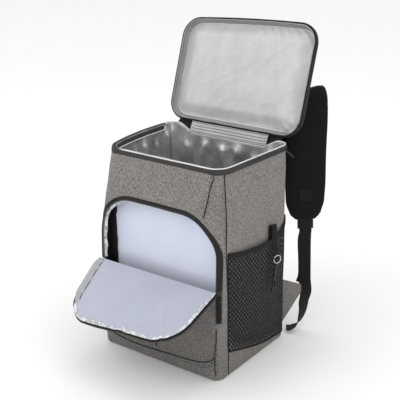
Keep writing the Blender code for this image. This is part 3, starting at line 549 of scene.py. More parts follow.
def smooth(obj, degrees=50):
    activate(obj)
    bpy.ops.object.shade_smooth_by_angle(angle=math.radians(degrees))


def bevel(obj, width, degrees):
    """Rounds the edges that turn by more than the angle."""
    apply(obj, "BEVEL", width=width, segments=2, limit_method="ANGLE",
          angle_limit=math.radians(degrees))


def cut(obj, *tools):
    """Cuts each tool out of a piece and removes the tool."""
    for tool in tools:
        apply(obj, "BOOLEAN", object=tool, operation="DIFFERENCE", solver="EXACT")
        bpy.data.objects.remove(tool)


def cube(name, scale=(1, 1, 1), place=(0, 0, 0)):
    """A box at its size and place, the only thing selected."""
    bpy.ops.object.select_all(action="DESELECT")
    bpy.ops.mesh.primitive_cube_add(size=1, location=place)
    box = bpy.context.object
    box.name = name
    box.scale = scale
    bpy.ops.object.transform_apply(location=True, rotation=True, scale=True)
    return box


def subdivide(obj, cuts):
    """Divides every face of a piece."""
    activate(obj)
    bpy.ops.object.mode_set(mode="EDIT")
    bpy.ops.mesh.select_all(action="SELECT")
    bpy.ops.mesh.subdivide(number_cuts=cuts)
    bpy.ops.object.mode_set(mode="OBJECT")


def cloth_mesh(name, rows, uv, finish, closed=False, caps=(), thick=0.0, offset=0.0, angle=60):
    """A piece of cloth through rows of points. uv gives each point's place on the cloth in
    metres, with one column more where the rows are closed. caps closes the first or last row.
    The thickness lies on both sides of the rows, or behind them with an offset of -1."""
    width = len(rows[0])
    columns = width if closed else width - 1
    faces, corners = [], []
    for r in range(len(rows) - 1):
        for c in range(columns):
            d = (c + 1) % width
            faces.append((r * width + c, r * width + d, (r + 1) * width + d, (r + 1) * width + c))
            corners += [uv[r][c], uv[r][c + 1], uv[r + 1][c + 1], uv[r + 1][c]]
    for row in caps:
        ids = [row % len(rows) * width + c for c in range(width)]
        faces.append(ids[::-1] if row == 0 else ids)
        corners += [(rows[row][c].x, rows[row][c].y) for c in range(width)][::-1 if row == 0 else 1]
    mesh = bpy.data.meshes.new(name)
    mesh.from_pydata([p for row in rows for p in row], [], faces)
    layer = mesh.uv_layers.new(name="UVMap")
    layer.data.foreach_set("uv", [value for pair in corners for value in pair])
    obj = bpy.data.objects.new(name, mesh)
    bpy.context.scene.collection.objects.link(obj)
    mesh.materials.append(finish)
    if thick:
        apply(obj, "SOLIDIFY", thickness=thick, offset=offset)
    smooth(obj, angle)
    return obj


def outward(obj):
    """Turns the faces of a closed piece outwards."""
    activate(obj)
    bpy.ops.object.mode_set(mode="EDIT")
    bpy.ops.mesh.select_all(action="SELECT")
    bpy.ops.mesh.remove_doubles(threshold=0.00001)
    bpy.ops.mesh.normals_make_consistent(inside=False)
    bpy.ops.object.mode_set(mode="OBJECT")
    return obj


def plain_uv(rows, closed=False):
    """Distance along and across the rows, for cloth cut straight."""
    down, made = 0.0, []
    for r, row in enumerate(rows):
        if r:
            down += sum((a - b).length for a, b in zip(row, rows[r - 1])) / len(row)
        across, line = 0.0, [(0.0, down)]
        for a, b in zip(row, row[1:] + (row[:1] if closed else [])):
            across += (b - a).length
            line.append((across, down))
        made.append(line)
    return made


def settle_piece(obj, slot, *nodes):
    """Rides the piece on the bag and hides the imported solids that it stands for; slot is not
    used.
    """
    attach(obj, "root")
    if nodes:
        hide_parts(*nodes)
    return obj


# Finishes

class Finish:
    """A material being put together from nodes."""

    def __init__(self, name, roughness=0.8, metallic=0.0, **sockets):
        self.material = bpy.data.materials.new(name)
        self.material.use_nodes = True
        self.tree = self.material.node_tree
        self.shader = self.tree.nodes["Principled BSDF"]
        self.shader.inputs["Roughness"].default_value = roughness
        self.shader.inputs["Metallic"].default_value = metallic
        for key, value in sockets.items():
            self.shader.inputs[key.replace("_", " ")].default_value = value
        self.coordinates = self.tree.nodes.new("ShaderNodeTexCoord")

    def set(self, target, value):
        if isinstance(value, bpy.types.NodeSocket):
            self.tree.links.new(value, target)
        else:
            target.default_value = value

    def stretch(self, scale=(1, 1, 1), turn=0.0, source="UV"):
        """The cloth's own coordinates, scaled and turned."""
        node = self.tree.nodes.new("ShaderNodeMapping")
        self.tree.links.new(self.coordinates.outputs[source], node.inputs["Vector"])
        node.inputs["Scale"].default_value = scale
        node.inputs["Rotation"].default_value = (0, 0, turn)
        return node.outputs["Vector"]

    def noise(self, vector, scale, detail=2.0, roughness=0.5, distortion=0.0):
        node = self.tree.nodes.new("ShaderNodeTexNoise")
        self.tree.links.new(vector, node.inputs["Vector"])
        node.inputs["Scale"].default_value = scale
        node.inputs["Detail"].default_value = detail
        node.inputs["Roughness"].default_value = roughness
        node.inputs["Distortion"].default_value = distortion
        return node.outputs["Fac"]

    def wave(self, vector, scale, direction, profile="SIN", distortion=0.0):
        node = self.tree.nodes.new("ShaderNodeTexWave")
        node.bands_direction = direction
        node.wave_profile = profile
        self.tree.links.new(vector, node.inputs["Vector"])
        node.inputs["Scale"].default_value = scale
        node.inputs["Distortion"].default_value = distortion
        return node.outputs["Fac"]

    def maths(self, kind, a, b=0.0, clamp=False):
        node = self.tree.nodes.new("ShaderNodeMath")
        node.operation = kind
        node.use_clamp = clamp
        self.set(node.inputs[0], a)
        self.set(node.inputs[1], b)
        return node.outputs[0]

    def spread(self, value, low, high):
        """The value stretched so that low becomes 0 and high 1."""
        node = self.tree.nodes.new("ShaderNodeMapRange")
        self.set(node.inputs["Value"], value)
        node.inputs["From Min"].default_value = low
        node.inputs["From Max"].default_value = high
        return node.outputs["Result"]

    def mix(self, share, a, b):
        node = self.tree.nodes.new("ShaderNodeMix")
        node.data_type = "RGBA"
        self.set(node.inputs["Factor"], share)
        for index, value in ((6, a), (7, b)):
            if not isinstance(value, bpy.types.NodeSocket):
                value = (*value, 1)
            self.set(node.inputs[index], value)
        return node.outputs[2]

    def average(self, a, b):
        return self.maths("ADD", self.maths("MULTIPLY", a, 0.5), self.maths("MULTIPLY", b, 0.5))

    def tones(self, share, value, dark, light):
        """From one tone of a colour to another."""
        return self.mix(share, darker(value, dark), darker(value, light))

    def weave(self, pitch, kind="MULTIPLY", turn=0.0):
        """Ridges along the cloth, crossed with ridges across it."""
        place = self.stretch(turn=turn)
        return self.maths(kind, self.wave(place, pitch, "X"), self.wave(place, pitch, "Y"))

    def bump(self, height, distance, strength=1.0, under=None):
        node = self.tree.nodes.new("ShaderNodeBump")
        node.inputs["Distance"].default_value = distance
        node.inputs["Strength"].default_value = strength
        self.tree.links.new(height, node.inputs["Height"])
        if under:
            self.tree.links.new(under, node.inputs["Normal"])
        return node.outputs["Normal"]

    def finish(self, base, normal=None, roughness=None):
        self.set(self.shader.inputs["Base Color"],
                 base if isinstance(base, bpy.types.NodeSocket) else (*base, 1))
        if normal:
            self.tree.links.new(normal, self.shader.inputs["Normal"])
        if roughness:
            self.tree.links.new(roughness, self.shader.inputs["Roughness"])
        return self.material


def darker(value, share):
    return tuple(v * share for v in value)


def melange(name, shade=1.0):
    """Heathered cloth: light and dark yarns that cross, over a fine plain weave, with painted shade
    near the floor.
    """
    colours = bpy.context.scene.bag_colours
    made = Finish(name, roughness=0.95, Specular_IOR_Level=0.15, Sheen_Weight=0.04)
    upright = made.noise(made.stretch((1.0, 0.30, 1.0)), 800, 3, 0.6)
    level = made.noise(made.stretch((0.30, 1.0, 1.0)), 860, 3, 0.6)
    patch = made.noise(made.stretch((1.0, 0.6, 1.0)), 55, 2, 0.5)
    yarns = made.maths("ADD", made.average(upright, level),
                       made.maths("MULTIPLY", patch, 0.07))
    share = made.spread(yarns, 0.45, 0.62)
    # Painted shade: a darker copy of the yarns, faded in by height towards the floor
    unshaded, painted_shade = (made.mix(share, darker(colours.melange_dark, tone),
                              darker(colours.melange_light, tone))
                     for tone in (shade, shade * PAINTED_FLOOR_SHADE))
    split = made.tree.nodes.new("ShaderNodeSeparateXYZ")
    made.tree.links.new(made.coordinates.outputs["Object"], split.inputs[0])
    base = made.mix(made.spread(split.outputs["Z"], *PAINTED_FLOOR_SHADE_HEIGHTS), painted_shade, unshaded)
    normal = made.bump(made.weave(380), 0.0002, 0.6)
    normal = made.bump(yarns, 0.0006, 0.5, normal)
    return made.finish(base, normal)


def silver_lining(name, shade=1.0, metallic=0.35, roughness=0.42, dark=0.86):
    """Coated cloth with a soft metal sheen and small crumples, its broad tone partly painted shade
    of folds.
    """
    colours = bpy.context.scene.bag_colours
    made = Finish(name, roughness=roughness, metallic=metallic)
    crumple = made.noise(made.stretch(), 70, 4, 0.62, 0.6)
    grain = made.noise(made.stretch(), 900, 2, 0.5)
    # Partly the cloth's own uneven tone, partly painted shade: dark sets how deep the patches that
    # stand for the folds' shade go
    tone = made.noise(made.stretch((1, 0.5, 1)), 24, 3, 0.55)
    base = made.tones(made.spread(tone, 0.3, 0.7), colours.silver, shade * dark, shade)
    normal = made.bump(grain, 0.0001, 0.35)
    normal = made.bump(crumple, 0.0035, 0.30, normal)
    rough = made.spread(crumple, -1.6, 1.9)
    return made.finish(base, normal, made.maths("MULTIPLY", rough, roughness * 2.0))


def pocket_lining(name, shade=1.0):
    """Pale smooth lining cloth, painted a little darker in the hollows of its soft billows as
    shade.
    """
    colours = bpy.context.scene.bag_colours
    made = Finish(name, roughness=0.6, Sheen_Weight=0.15)
    soft = made.noise(made.stretch((1, 0.6, 1)), 16, 3, 0.5, 0.4)
    # Painted shade: the noise that raises the billows also makes their hollows a little darker
    base = made.tones(made.spread(soft, 0.3, 0.7), colours.lavender, shade * 0.93, shade)
    normal = made.bump(made.weave(520, "ADD"), 0.0001, 0.25)
    normal = made.bump(soft, 0.006, 0.20, normal)
    return made.finish(base, normal)


def raw_edge(name):
    """Cut edge of the lining, frayed into pale and grey threads."""
    colours = bpy.context.scene.bag_colours
    made = Finish(name, roughness=0.8, Specular_IOR_Level=0.2)
    threads = made.noise(made.stretch((1, 0.35, 1)), 420, 4, 0.7)
    patches = made.noise(made.stretch(), 95, 3, 0.6)
    share = made.spread(made.average(threads, patches), 0.40, 0.56)
    base = made.tones(share, colours.fray, 0.42, 1.3)
    return made.finish(base, made.bump(threads, 0.0012, 0.8))


def woven(name, value, pitch=900.0, ribs=0.0, roughness=0.75, sheen=0.2, contrast=0.4):
    """Plain dark cloth or tape, with ribs across where it is webbing."""
    made = Finish(name, roughness=roughness, Specular_IOR_Level=0.16, Sheen_Weight=sheen * 0.08)
    fibres = made.noise(made.stretch((1, 0.5, 1)), pitch, 2, 0.6)
    base = made.tones(made.spread(fibres, 0.3, 0.7), value, 1 - contrast, 1 + contrast)
    normal = made.bump(made.weave(420), 0.0002, 0.6)
    if ribs:
        normal = made.bump(made.wave(made.stretch(), ribs, "Y"), 0.0004, 0.7, normal)
    return made.finish(base, normal)


def zipper_coil(name, value):
    """Moulded coil: a close row of small ridges along the zipper, with painted light on the ridges
    and painted shade between them.
    """
    made = Finish(name, roughness=0.45)
    teeth = made.wave(made.stretch(), 190, "X", "TRI")
    # Painted light and shade: the teeth are lighter where they rise and darker between them
    base = made.tones(teeth, value, 0.45, 1.35)
    return made.finish(base, made.bump(teeth, 0.0006, 0.9))


def air_mesh(name, value):
    """Spacer mesh of the shoulder pads: a close grid of small dimples, painted darker where they
    sink as shade.
    """
    made = Finish(name, roughness=0.9, Specular_IOR_Level=0.14, Sheen_Weight=0.015)
    dimples = made.weave(125, turn=DIAGONAL)
    fibres = made.noise(made.stretch(), 700, 2, 0.5)
    # Painted shade: the colour darkens where the dimples sink, with painted light between them
    base = made.tones(dimples, value, 1.5, 0.55)
    normal = made.bump(dimples, -0.0008, 0.8)
    return made.finish(base, made.bump(fibres, 0.0002, 0.4, normal))


def hard(name, value, roughness, metallic=0.0, wear=0.25, **sockets):
    """Metal or moulded plastic with faint wear."""
    made = Finish(name, roughness=roughness, metallic=metallic, **sockets)
    specks = made.noise(made.stretch(source="Object"), 260, 3, 0.6)
    base = made.tones(made.spread(specks, 0.3, 0.75), value, 1 - wear, 1 + wear)
    rough = made.maths("ADD", made.maths("MULTIPLY", specks, roughness * 0.5), roughness * 0.75)
    return made.finish(base, made.bump(specks, 0.00005, 0.4), rough)


def finishes():
    """Every finish of the bag by name, made once."""
    if hasattr(P, "finishes"):
        return P.finishes
    c = bpy.context.scene.bag_colours
    P.finishes = {
        "melange": melange("grey_melange"),
        # Painted shade: a darker copy of the outer cloth, for the pocket's lower front and the
        # flap's cloth
        "melange_low": melange("grey_melange_low", 0.95),
        # Painted light and shade: the silver finishes are copies of one coated cloth, made lighter
        # or darker by part; the lid's side walls, the hinge strip and the lid's outer piping get
        # darker copies for their shade
        "silver": silver_lining("silver_lining", 1.32, 0.72, 0.32, 0.36),
        "silver_lid": silver_lining("silver_lid_panel", 1.02, 0.2, 0.45),
        "silver_hinge": silver_lining("silver_hinge", 0.85, 0.25, 0.45),
        "silver_side": silver_lining("silver_side", 0.62, 0.35, 0.42),
        "piping": silver_lining("silver_piping", 1.35, 0.25, 0.35),
        # Painted light and shade: the pocket lining in a lighter copy for its back wall and a
        # darker copy for the flap
        "lavender": pocket_lining("pocket_lining", 1.22),
        "flap": pocket_lining("flap_lining", 0.78),
        "fray": raw_edge("raw_edge"),
        "lip": silver_lining("grey_lip", 0.8, 0.1, 0.6),
        "tape": woven("zipper_tape", tuple(c.tape), contrast=0.3),
        "opening_tape": woven("opening_tape", darker(c.tape, 0.42), contrast=0.3),
        "dark_tape": woven("dark_tape", darker(c.tape, 0.32), contrast=0.3),
        "lid_piping": silver_lining("lid_piping", 0.60, 0.25, 0.35),
        "coil": zipper_coil("zipper_coil", darker(c.tape, 0.45)),
        "black": woven("black_cloth", tuple(c.black)),
        "webbing": woven("black_webbing", tuple(c.black), ribs=260, sheen=0.4),
        "net": woven("black_net", darker(c.black, 0.45), pitch=1500, roughness=0.6),
        "pad": air_mesh("air_mesh", darker(c.black, 0.6)),
        "thread": woven("dark_thread", darker(c.tape, 0.4), roughness=0.9),
        "steel": hard("bright_steel", (0.80, 0.80, 0.81), 0.2, 1.0, wear=0.08),
        "black_metal": hard("black_metal", (0.010, 0.010, 0.011), 0.45, Specular_IOR_Level=0.18),
        "plastic": hard("black_plastic", (0.009, 0.009, 0.010), 0.5, Specular_IOR_Level=0.25),
    }
    return P.finishes


# Body

def opening_outline(inset, foot=None, steps=14):
    """The pocket's opening in x and z: a rounded box, or its part above a height."""
    half = P.opening_half - inset
    low, high = OPENING_FOOT + inset, P.opening_top - inset
    top_round = min(OPENING_ROUND, (high - HINGE_HEIGHT) * 0.6) - inset
    foot_round = min(FOOT_ROUND, (HINGE_HEIGHT - low) * 0.4) - inset
    corners = (
        (half - foot_round, low + foot_round, foot_round, -90),
        (half - top_round, high - top_round, top_round, 0),
        (top_round - half, high - top_round, top_round, 90),
        (foot_round - half, low + foot_round, foot_round, 180),
    )
    points = []
    for x, z, radius, start in corners:
        for turn in steps_from(start, start + 90, steps):
            turn = math.radians(turn)
            points.append((x + radius * math.cos(turn), z + radius * math.sin(turn)))
    if foot is None:
        return points
    upper = points[steps + 1:3 * (steps + 1)]
    side = [(half, z) for z in steps_from(foot, high - top_round, 8)[:-1]]
    right, left = upper[:steps + 1], upper[steps + 1:]
    top = [(x, high) for x in steps_from(right[-1][0], left[0][0], 16)[1:-1]]
    return side + right + top + left + [(-x, z) for x, z in reversed(side)]


def on_front(x, z, lift):
    """A point on the bag's front and its corners, lifted off the surface."""
    lift += puff(x, front(z), z)
    rounded = corner(z)
    reach = P.half_width - rounded
    if abs(x) <= reach:
        return settle(x, front(z) - lift, z)
    share = min((abs(x) - reach) / rounded, 1.0)
    turn = math.asin(share)
    out = rounded + lift
    y = front(z) + rounded
    return settle(math.copysign(reach + out * math.sin(turn), x), y - out * math.cos(turn), z)


def on_side(sign, y, z, lift):
    """A point on a side of the bag or its back corner, lifted off the surface."""
    lift += puff(sign * P.half_width, y, z)
    start = P.back - CORNER
    if y <= start:
        return settle(sign * (P.half_width + lift), y, z)
    turn = math.asin(min((y - start) / CORNER, 1.0))
    out = CORNER + lift
    x = P.half_width - CORNER + out * math.cos(turn)
    return settle(sign * x, start + out * math.sin(turn), z)


def make_body():
    """Outer cloth in one shell, out over its face and in again, with the pocket cut open."""
    rings, down, total = [], [], 0.0
    for degrees in (0, 22, 45, 67, 90):
        turn = math.radians(degrees)
        rings.append(wall_ring(BASE_ROUND * (1 - math.cos(turn)),
                               BASE_ROUND * (1 - math.sin(turn))))
    heights = steps_from(BASE_ROUND, P.height, BODY_ROWS)[1:]
    rings += [wall_ring(z) for z in heights]
    rings += [wall_ring(z, WALL, loosen=None) for z in reversed(heights[5::6])]
    rings.append(wall_ring(WALL * 1.6, WALL, loosen=None))
    rings.append(wall_ring(WALL, WALL * 1.6, loosen=None))
    for i, ring in enumerate(rings):
        if i:
            total += (ring[0] - rings[i - 1][0]).length
        down.append(total)
    uv = [[(u, v) for u in ring_lengths(ring)] for ring, v in zip(rings, down)]
    body = cloth_mesh("bag_body", rings, uv, finishes()["melange"], closed=True, caps=(0, -1))
    outward(body)
    outline = opening_outline(0.0)
    deep = P.divider_front - GAP
    tool = cloth_mesh("cutter", [[Vector((x, y, z)) for x, z in outline] for y in (-P.depth, deep)],
                      [[(0, 0)] * (len(outline) + 1)] * 2, finishes()["melange"], closed=True,
                      caps=(0, -1))
    outward(tool)
    cut(body, tool)
    smooth(body, 50)
    settle_piece(body, "melange", "body_shell")


def ribbon(name, points, lifts, width, finish, thick=0.0):
    """A narrow strip along points on a surface; lifts are the surface's normals."""
    rows = []
    for i, (p, n) in enumerate(zip(points, lifts)):
        ahead = points[min(i + 1, len(points) - 1)] - points[max(i - 1, 0)]
        side = ahead.cross(n).normalized() * width / 2
        rows.append([p - side, p + side])
    uv = plain_uv(rows)
    return cloth_mesh(name, rows, uv, finish, thick=thick or width * 0.4)


def seam_points(table, place, count=60):
    """Points every few millimetres along a seam, through a table of shares."""
    nodes = [Vector((a, b, 0)) for a, b in table]
    fine = smooth_path(nodes, max(2, count // (len(nodes) - 1)))
    return [place(p.x, p.y) for p in fine]


def make_seams():
    """Dark topstitched seams of the outer cloth."""
    thread = finishes()["thread"]
    lift = 0.0005

    def face(x, z):
        x, z = x * P.half_width, z * P.height
        point = on_front(x, z, lift)
        if abs(x) < P.opening_half and z > OPENING_FOOT:
            point.y = min(point.y, panel_point(x, z, lift + 0.0002).y)
        return point

    def side(y, z):
        return on_side(1, y * P.back, z * P.height, lift)

    made = []
    for name, table, place, normal in (
            ("seam_lean", SEAM_LEAN, face, Vector((0, -1, 0.2))),
            ("seam_corner", SEAM_CORNER, side, Vector((1, -0.2, 0))),
            ("seam_side", SEAM_SIDE, face, Vector((0.5, -1, 0))),
            ("seam_bottom", SEAM_BOTTOM, face, Vector((0, -1, 0))),
            ("seam_stitch", SEAM_STITCH, face, Vector((0, -1, 0)))):
        points = seam_points(table, place)
        made.append(ribbon(name, points, [normal] * len(points), SEAM_WIDTH, thread, SEAM_STAND))
    for piece in made:
        settle_piece(piece, "tape")


def panel_point(x, z, lift):
    """A point on the padded lower front of the pocket."""
    half = P.opening_half + OPENING_MARGIN * 0.2
    low, high = OPENING_FOOT * 0.5, flap_foot()
    up = min(max((z - low) / (high - low), 0), 1)
    swell = max(0.0, 1 - (x / half) ** 2) * math.sin(math.pi * up)
    bulge = PANEL_BULGE * swell + rumple(x, 0.3, z, 22, 5) * 0.0014 * swell
    return Vector((x, front(z) - bulge - lift, z))


def flap_thickness():
    return LINING + GAP + FLAP_PAD


def flap_foot():
    return HINGE_HEIGHT - flap_thickness() - GAP * 3


def make_front_panel():
    """Padded lower front of the pocket, inside the zipper's round corners."""
    foot_round = min(FOOT_ROUND, (HINGE_HEIGHT - OPENING_FOOT) * 0.4)
    rows, uv = [], []
    for z in steps_from(OPENING_FOOT + GAP, flap_foot(), 36):
        above = min(z - OPENING_FOOT, foot_round)
        half = P.opening_half - GAP - foot_round + math.sqrt(
            max(foot_round ** 2 - (foot_round - above) ** 2, 0))
        line = steps_from(-half, half, 56)
        rows.append([panel_point(x, z, 0.0) for x in line])
        uv.append([(x, z) for x in line])
    # Painted shade: the panel takes the darker copy of the outer cloth, for the shade under the
    # flap
    panel = cloth_mesh("front_panel_cloth", rows, uv, finishes()["melange_low"],
                       thick=FRONT_PANEL, offset=-1.0)
    outward(panel)
    bevel(panel, PANEL_EDGE, 60)
    smooth(panel, 60)
    settle_piece(panel, "melange", "front_panel")


# Rim, lining and divider

def turned_in(x, y):
    """1 where the rim's tape is turned inwards, on the left, and 0 elsewhere."""
    return (ease((-x - P.half_width * 0.62) / (P.half_width * 0.2))
            * ease((P.back - 0.012 - y) / 0.02))


def fold_depth(place, down):
    """How far the lining's folds stand in at a place round the rim and a share down."""
    total = 0.0
    for fold in FOLD_ROWS:
        away = place - (fold["place"] + fold["drift"] * down)
        if abs(away) > 0.5:
            away = 1 - abs(away)
        fading = ease((down - fold["end"] * 0.6) / 0.4)
        reach = ease((down - fold["start"]) / 0.050) * (1 - 0.8 * fading)
        narrow = fold["width"] * (0.6 + 1.2 * down)
        total += fold["depth"] * math.exp(-(away / narrow) ** 2) * reach
    return P.fold * min(total, 1.5)


def make_lining():
    """Silver lining, gathered in folds below the rim."""
    steps, arc = 44, 12
    offset = WALL + LINING_EASE
    low = P.divider_back + GAP
    heights = steps_from(0.018, P.height * 0.80, 30) + steps_from(P.height * 0.80, P.height, 14)[1:]
    middle = Vector((0, (low + P.back) / 2))

    def ring(z, extra=0.0, floor=None):
        inset = offset + extra
        plain = plan_ring(inset - P.half_width, P.half_width - inset, low + extra, P.back - inset,
                          corner(z, inset), max(CORNER - inset, CORNER * 0.1), steps, arc)
        face = plan_ring(-P.half_width, P.half_width, low, P.back, corner(z), CORNER, steps, arc)
        count, made = len(plain), []
        for i, (x, y, nx, ny) in enumerate(plain):
            place = (i / count + 0.5) % 1.0
            down = max(1 - z / P.height - UNDER_TAPE * turned_in(x, y), 0.0)
            depth = fold_depth(place, down)
            depth += (rumple(x, y, z * 0.6, 45, 2) + 0.5) * LINING_CRUMPLE * ease(down / 0.05)
            depth += (rumple(x, y, z, 110, 6) + 0.4) * LINING_GRAIN * ease(down / 0.05)
            toward = (middle - Vector((x, y))).normalized()
            inwards = (Vector((-nx, -ny)) * 0.7 + toward * 0.3).normalized()
            point = settle(x, y, z if floor is None else floor)
            point.z -= dip(face[i][0], face[i][1], z)
            made.append(point + Vector((inwards.x, inwards.y, 0)) * max(depth, 0.0))
        return made

    rings = [ring(heights[0], inset, WALL + GAP + LINING + rise)
             for inset, rise in ((0.10, 0.0), (0.06, 0.0), (0.03, 0.0), (BASE_ROUND, 0.0))]
    rings += [ring(z) for z in heights]
    across = ring_lengths(rings[len(rings) // 2])
    uv = [[(u, (heights[0] - 0.012 * (4 - i)) if i < 4 else heights[i - 4]) for u in across]
          for i in range(len(rings))]
    piece = cloth_mesh("silver_bag_lining", rings, uv, finishes()["silver"], closed=True,
                       caps=(0,), thick=THIN_CLOTH, angle=75)
    settle_piece(piece, "silver", "main_lining")


def inner_half(y, z):
    """Half the room between the bag's side walls, less where its front corners are round."""
    rounded = corner(z)
    into_corner = front(z) + rounded - y
    if into_corner <= 0:
        return P.half_width - WALL - GAP
    left_over = max((rounded - WALL) ** 2 - into_corner ** 2, 0.0)
    return P.half_width - rounded + math.sqrt(left_over) - GAP * 8


def make_divider():
    """Pale back wall of the front pocket."""
    rows, uv = [], []
    for z in steps_from(WALL * 2.2, P.height - GAP * 3, 50):
        half = inner_half(P.divider_front, z)
        line = steps_from(-half, half, 48)
        rise = ease(z / 0.05) * ease((P.height - z) / 0.05)
        rows.append([settle(x, P.divider_front + (rumple(x, 0, z, 15, 7) - 0.4) * 0.0016 * rise
                            - 0.0012 * rise * math.exp(-((z - 0.30 - x * 0.12) / 0.012) ** 2), z)
                     for x in line])
        uv.append([(x, z) for x in line])
    piece = cloth_mesh("pocket_back_cloth", rows, uv, finishes()["lavender"], thick=DIVIDER * 0.8,
                       offset=-1.0)
    outward(piece)
    settle_piece(piece, "lavender", "pocket_back_wall")


def tube(name, path, radius, finish, closed=False, sides=8, flat=1.0):
    """A round or flattened cord along a path."""
    count = len(path)
    rows = []
    for i, p in enumerate(path):
        if closed:
            ahead = path[(i + 1) % count] - path[i - 1]
        else:
            ahead = path[min(i + 1, count - 1)] - path[max(i - 1, 0)]
        ahead.normalize()
        up = Vector((0, 0, 1)) if abs(ahead.z) < 0.9 else Vector((1, 0, 0))
        side = ahead.cross(up).normalized()
        up = side.cross(ahead)
        rows.append([p + side * math.cos(t) * radius + up * math.sin(t) * radius * flat
                     for t in (2 * math.pi * k / sides for k in range(sides))])
    if closed:
        rows.append(rows[0])
    piece = cloth_mesh(name, rows, plain_uv(rows, True), finish, closed=True,
                       caps=() if closed else (0, -1), angle=80)
    return outward(piece)


def make_rim():
    """Zipper tape round the rim, turned in on the left, with thin silver piping."""
    steps, arc = 40, 10
    z, outer = P.height, GAP + BAND

    def ring(inset, drop, low=None):
        return wall_ring(z, inset, low=low, drop=drop, loosen=None, steps=steps, arc=arc)

    plain = ring(0.0, 0.0)
    turned = [turned_in(p.x, p.y) for p in plain]
    rows = []
    for inset, drop, turned_inset, turned_drop in RIM_PROFILE:
        pairs = zip(ring(inset - outer, drop), ring(turned_inset - outer, turned_drop), turned)
        rows.append([a.lerp(b, t) for a, b, t in pairs])
    across = ring_lengths(plain)
    uv = [[(u, 0.002 * i) for u in across] for i in range(len(rows))]
    band = cloth_mesh("rim_tape", rows, uv, finishes()["tape"], closed=True,
                      thick=TAPE_CLOTH, angle=70)
    settle_piece(band, "tape", "rim_band")
    high, low = ring(0.0002, 0.0016), ring(0.0094, -0.0112)
    path = [a.lerp(b, t) for a, b, t in zip(high, low, turned)]
    path = [p + Vector((0, 0, rumple(p.x, p.y, 0, 60, 4) * 0.0005)) for p in path]
    piping = tube("rim_piping", path, RIM_PIPING, finishes()["piping"], closed=True)
    settle_piece(piping, "silver", "rim_binding")
    inner_low = P.divider_back + GAP
    rim = WALL + LINING_EASE
    plain_rows = [ring(0.0006, 0.0006), ring(0.0026, 0.0004), ring(rim, -0.0006, inner_low),
                  ring(rim, -0.0022, inner_low)]
    sunk_rows = [ring(0.0080, -0.0112), ring(0.0082, -0.0114), ring(0.0084, -0.0118),
                 ring(0.0086, -0.0124)]
    rows = [[a.lerp(b, t) for a, b, t in zip(plain_row, sunk_row, turned)]
            for plain_row, sunk_row in zip(plain_rows, sunk_rows)]
    cover = cloth_mesh("rim_cover", rows, [[(u, 0.003 * i) for u in across] for i in range(4)],
                       finishes()["silver"], closed=True, thick=TAPE_CLOTH, angle=70)
    settle_piece(cover, "silver")
    coil_line = [p for p in ring(-outer - 0.0006, -BAND_HEIGHT * 0.45)
                 if p.x > P.half_width * 0.8 and p.y > -0.02]
    coil_line.sort(key=lambda p: p.y)
    coil = tube("rim_coil", coil_line, COIL, finishes()["coil"], flat=1.2)
    settle_piece(coil, "black")


# Lid

def lid_place():
    hinge = Matrix.Translation((LID_SHIFT, P.back + LID_BEHIND, P.height + LID_RISE))
    return hinge @ Matrix.Rotation(-P.lid_open, 4, "X")


def lid_point(x, y, z):
    """A point of the lid in its open place, with its free edge arched and a little askew."""
    share = x / (P.half_width + LID_OVERHANG)
    arch = LID_ARCH * (1 - share ** 2) * -y / P.lid_length
    return lid_place() @ Vector((x, y * (1 + LID_SKEW * share) - arch, z))


def lid_plan(inset, steps, arc):
    """The lid's outline in plan, inset from its edge."""
    half = P.half_width + LID_OVERHANG - inset
    rounded = max(LID_CORNER - inset, LEAST_ROUND)
    return plan_ring(-half, half, inset - P.lid_length, -inset, rounded, rounded, steps, arc)


def lid_ring(z, inset, steps=24, arc=10, loosen=0.0):
    """A loop of the lid at a depth below its rim, in its open place."""
    made = []
    for x, y, nx, ny in lid_plan(inset, steps, arc):
        soft = rumple(x, y, z, 40, 9) * loosen
        made.append(lid_point(x + nx * soft, y + ny * soft, z + soft))
    return made


def lid_floor(depth_of, insets, steps=24, arc=10):
    """Rings of the lid that close in on its middle, at a depth that depends on the place."""
    return [[lid_point(x, y, depth_of(x, y, inset)) for x, y, _, _ in lid_plan(inset, steps, arc)]
            for inset in insets]


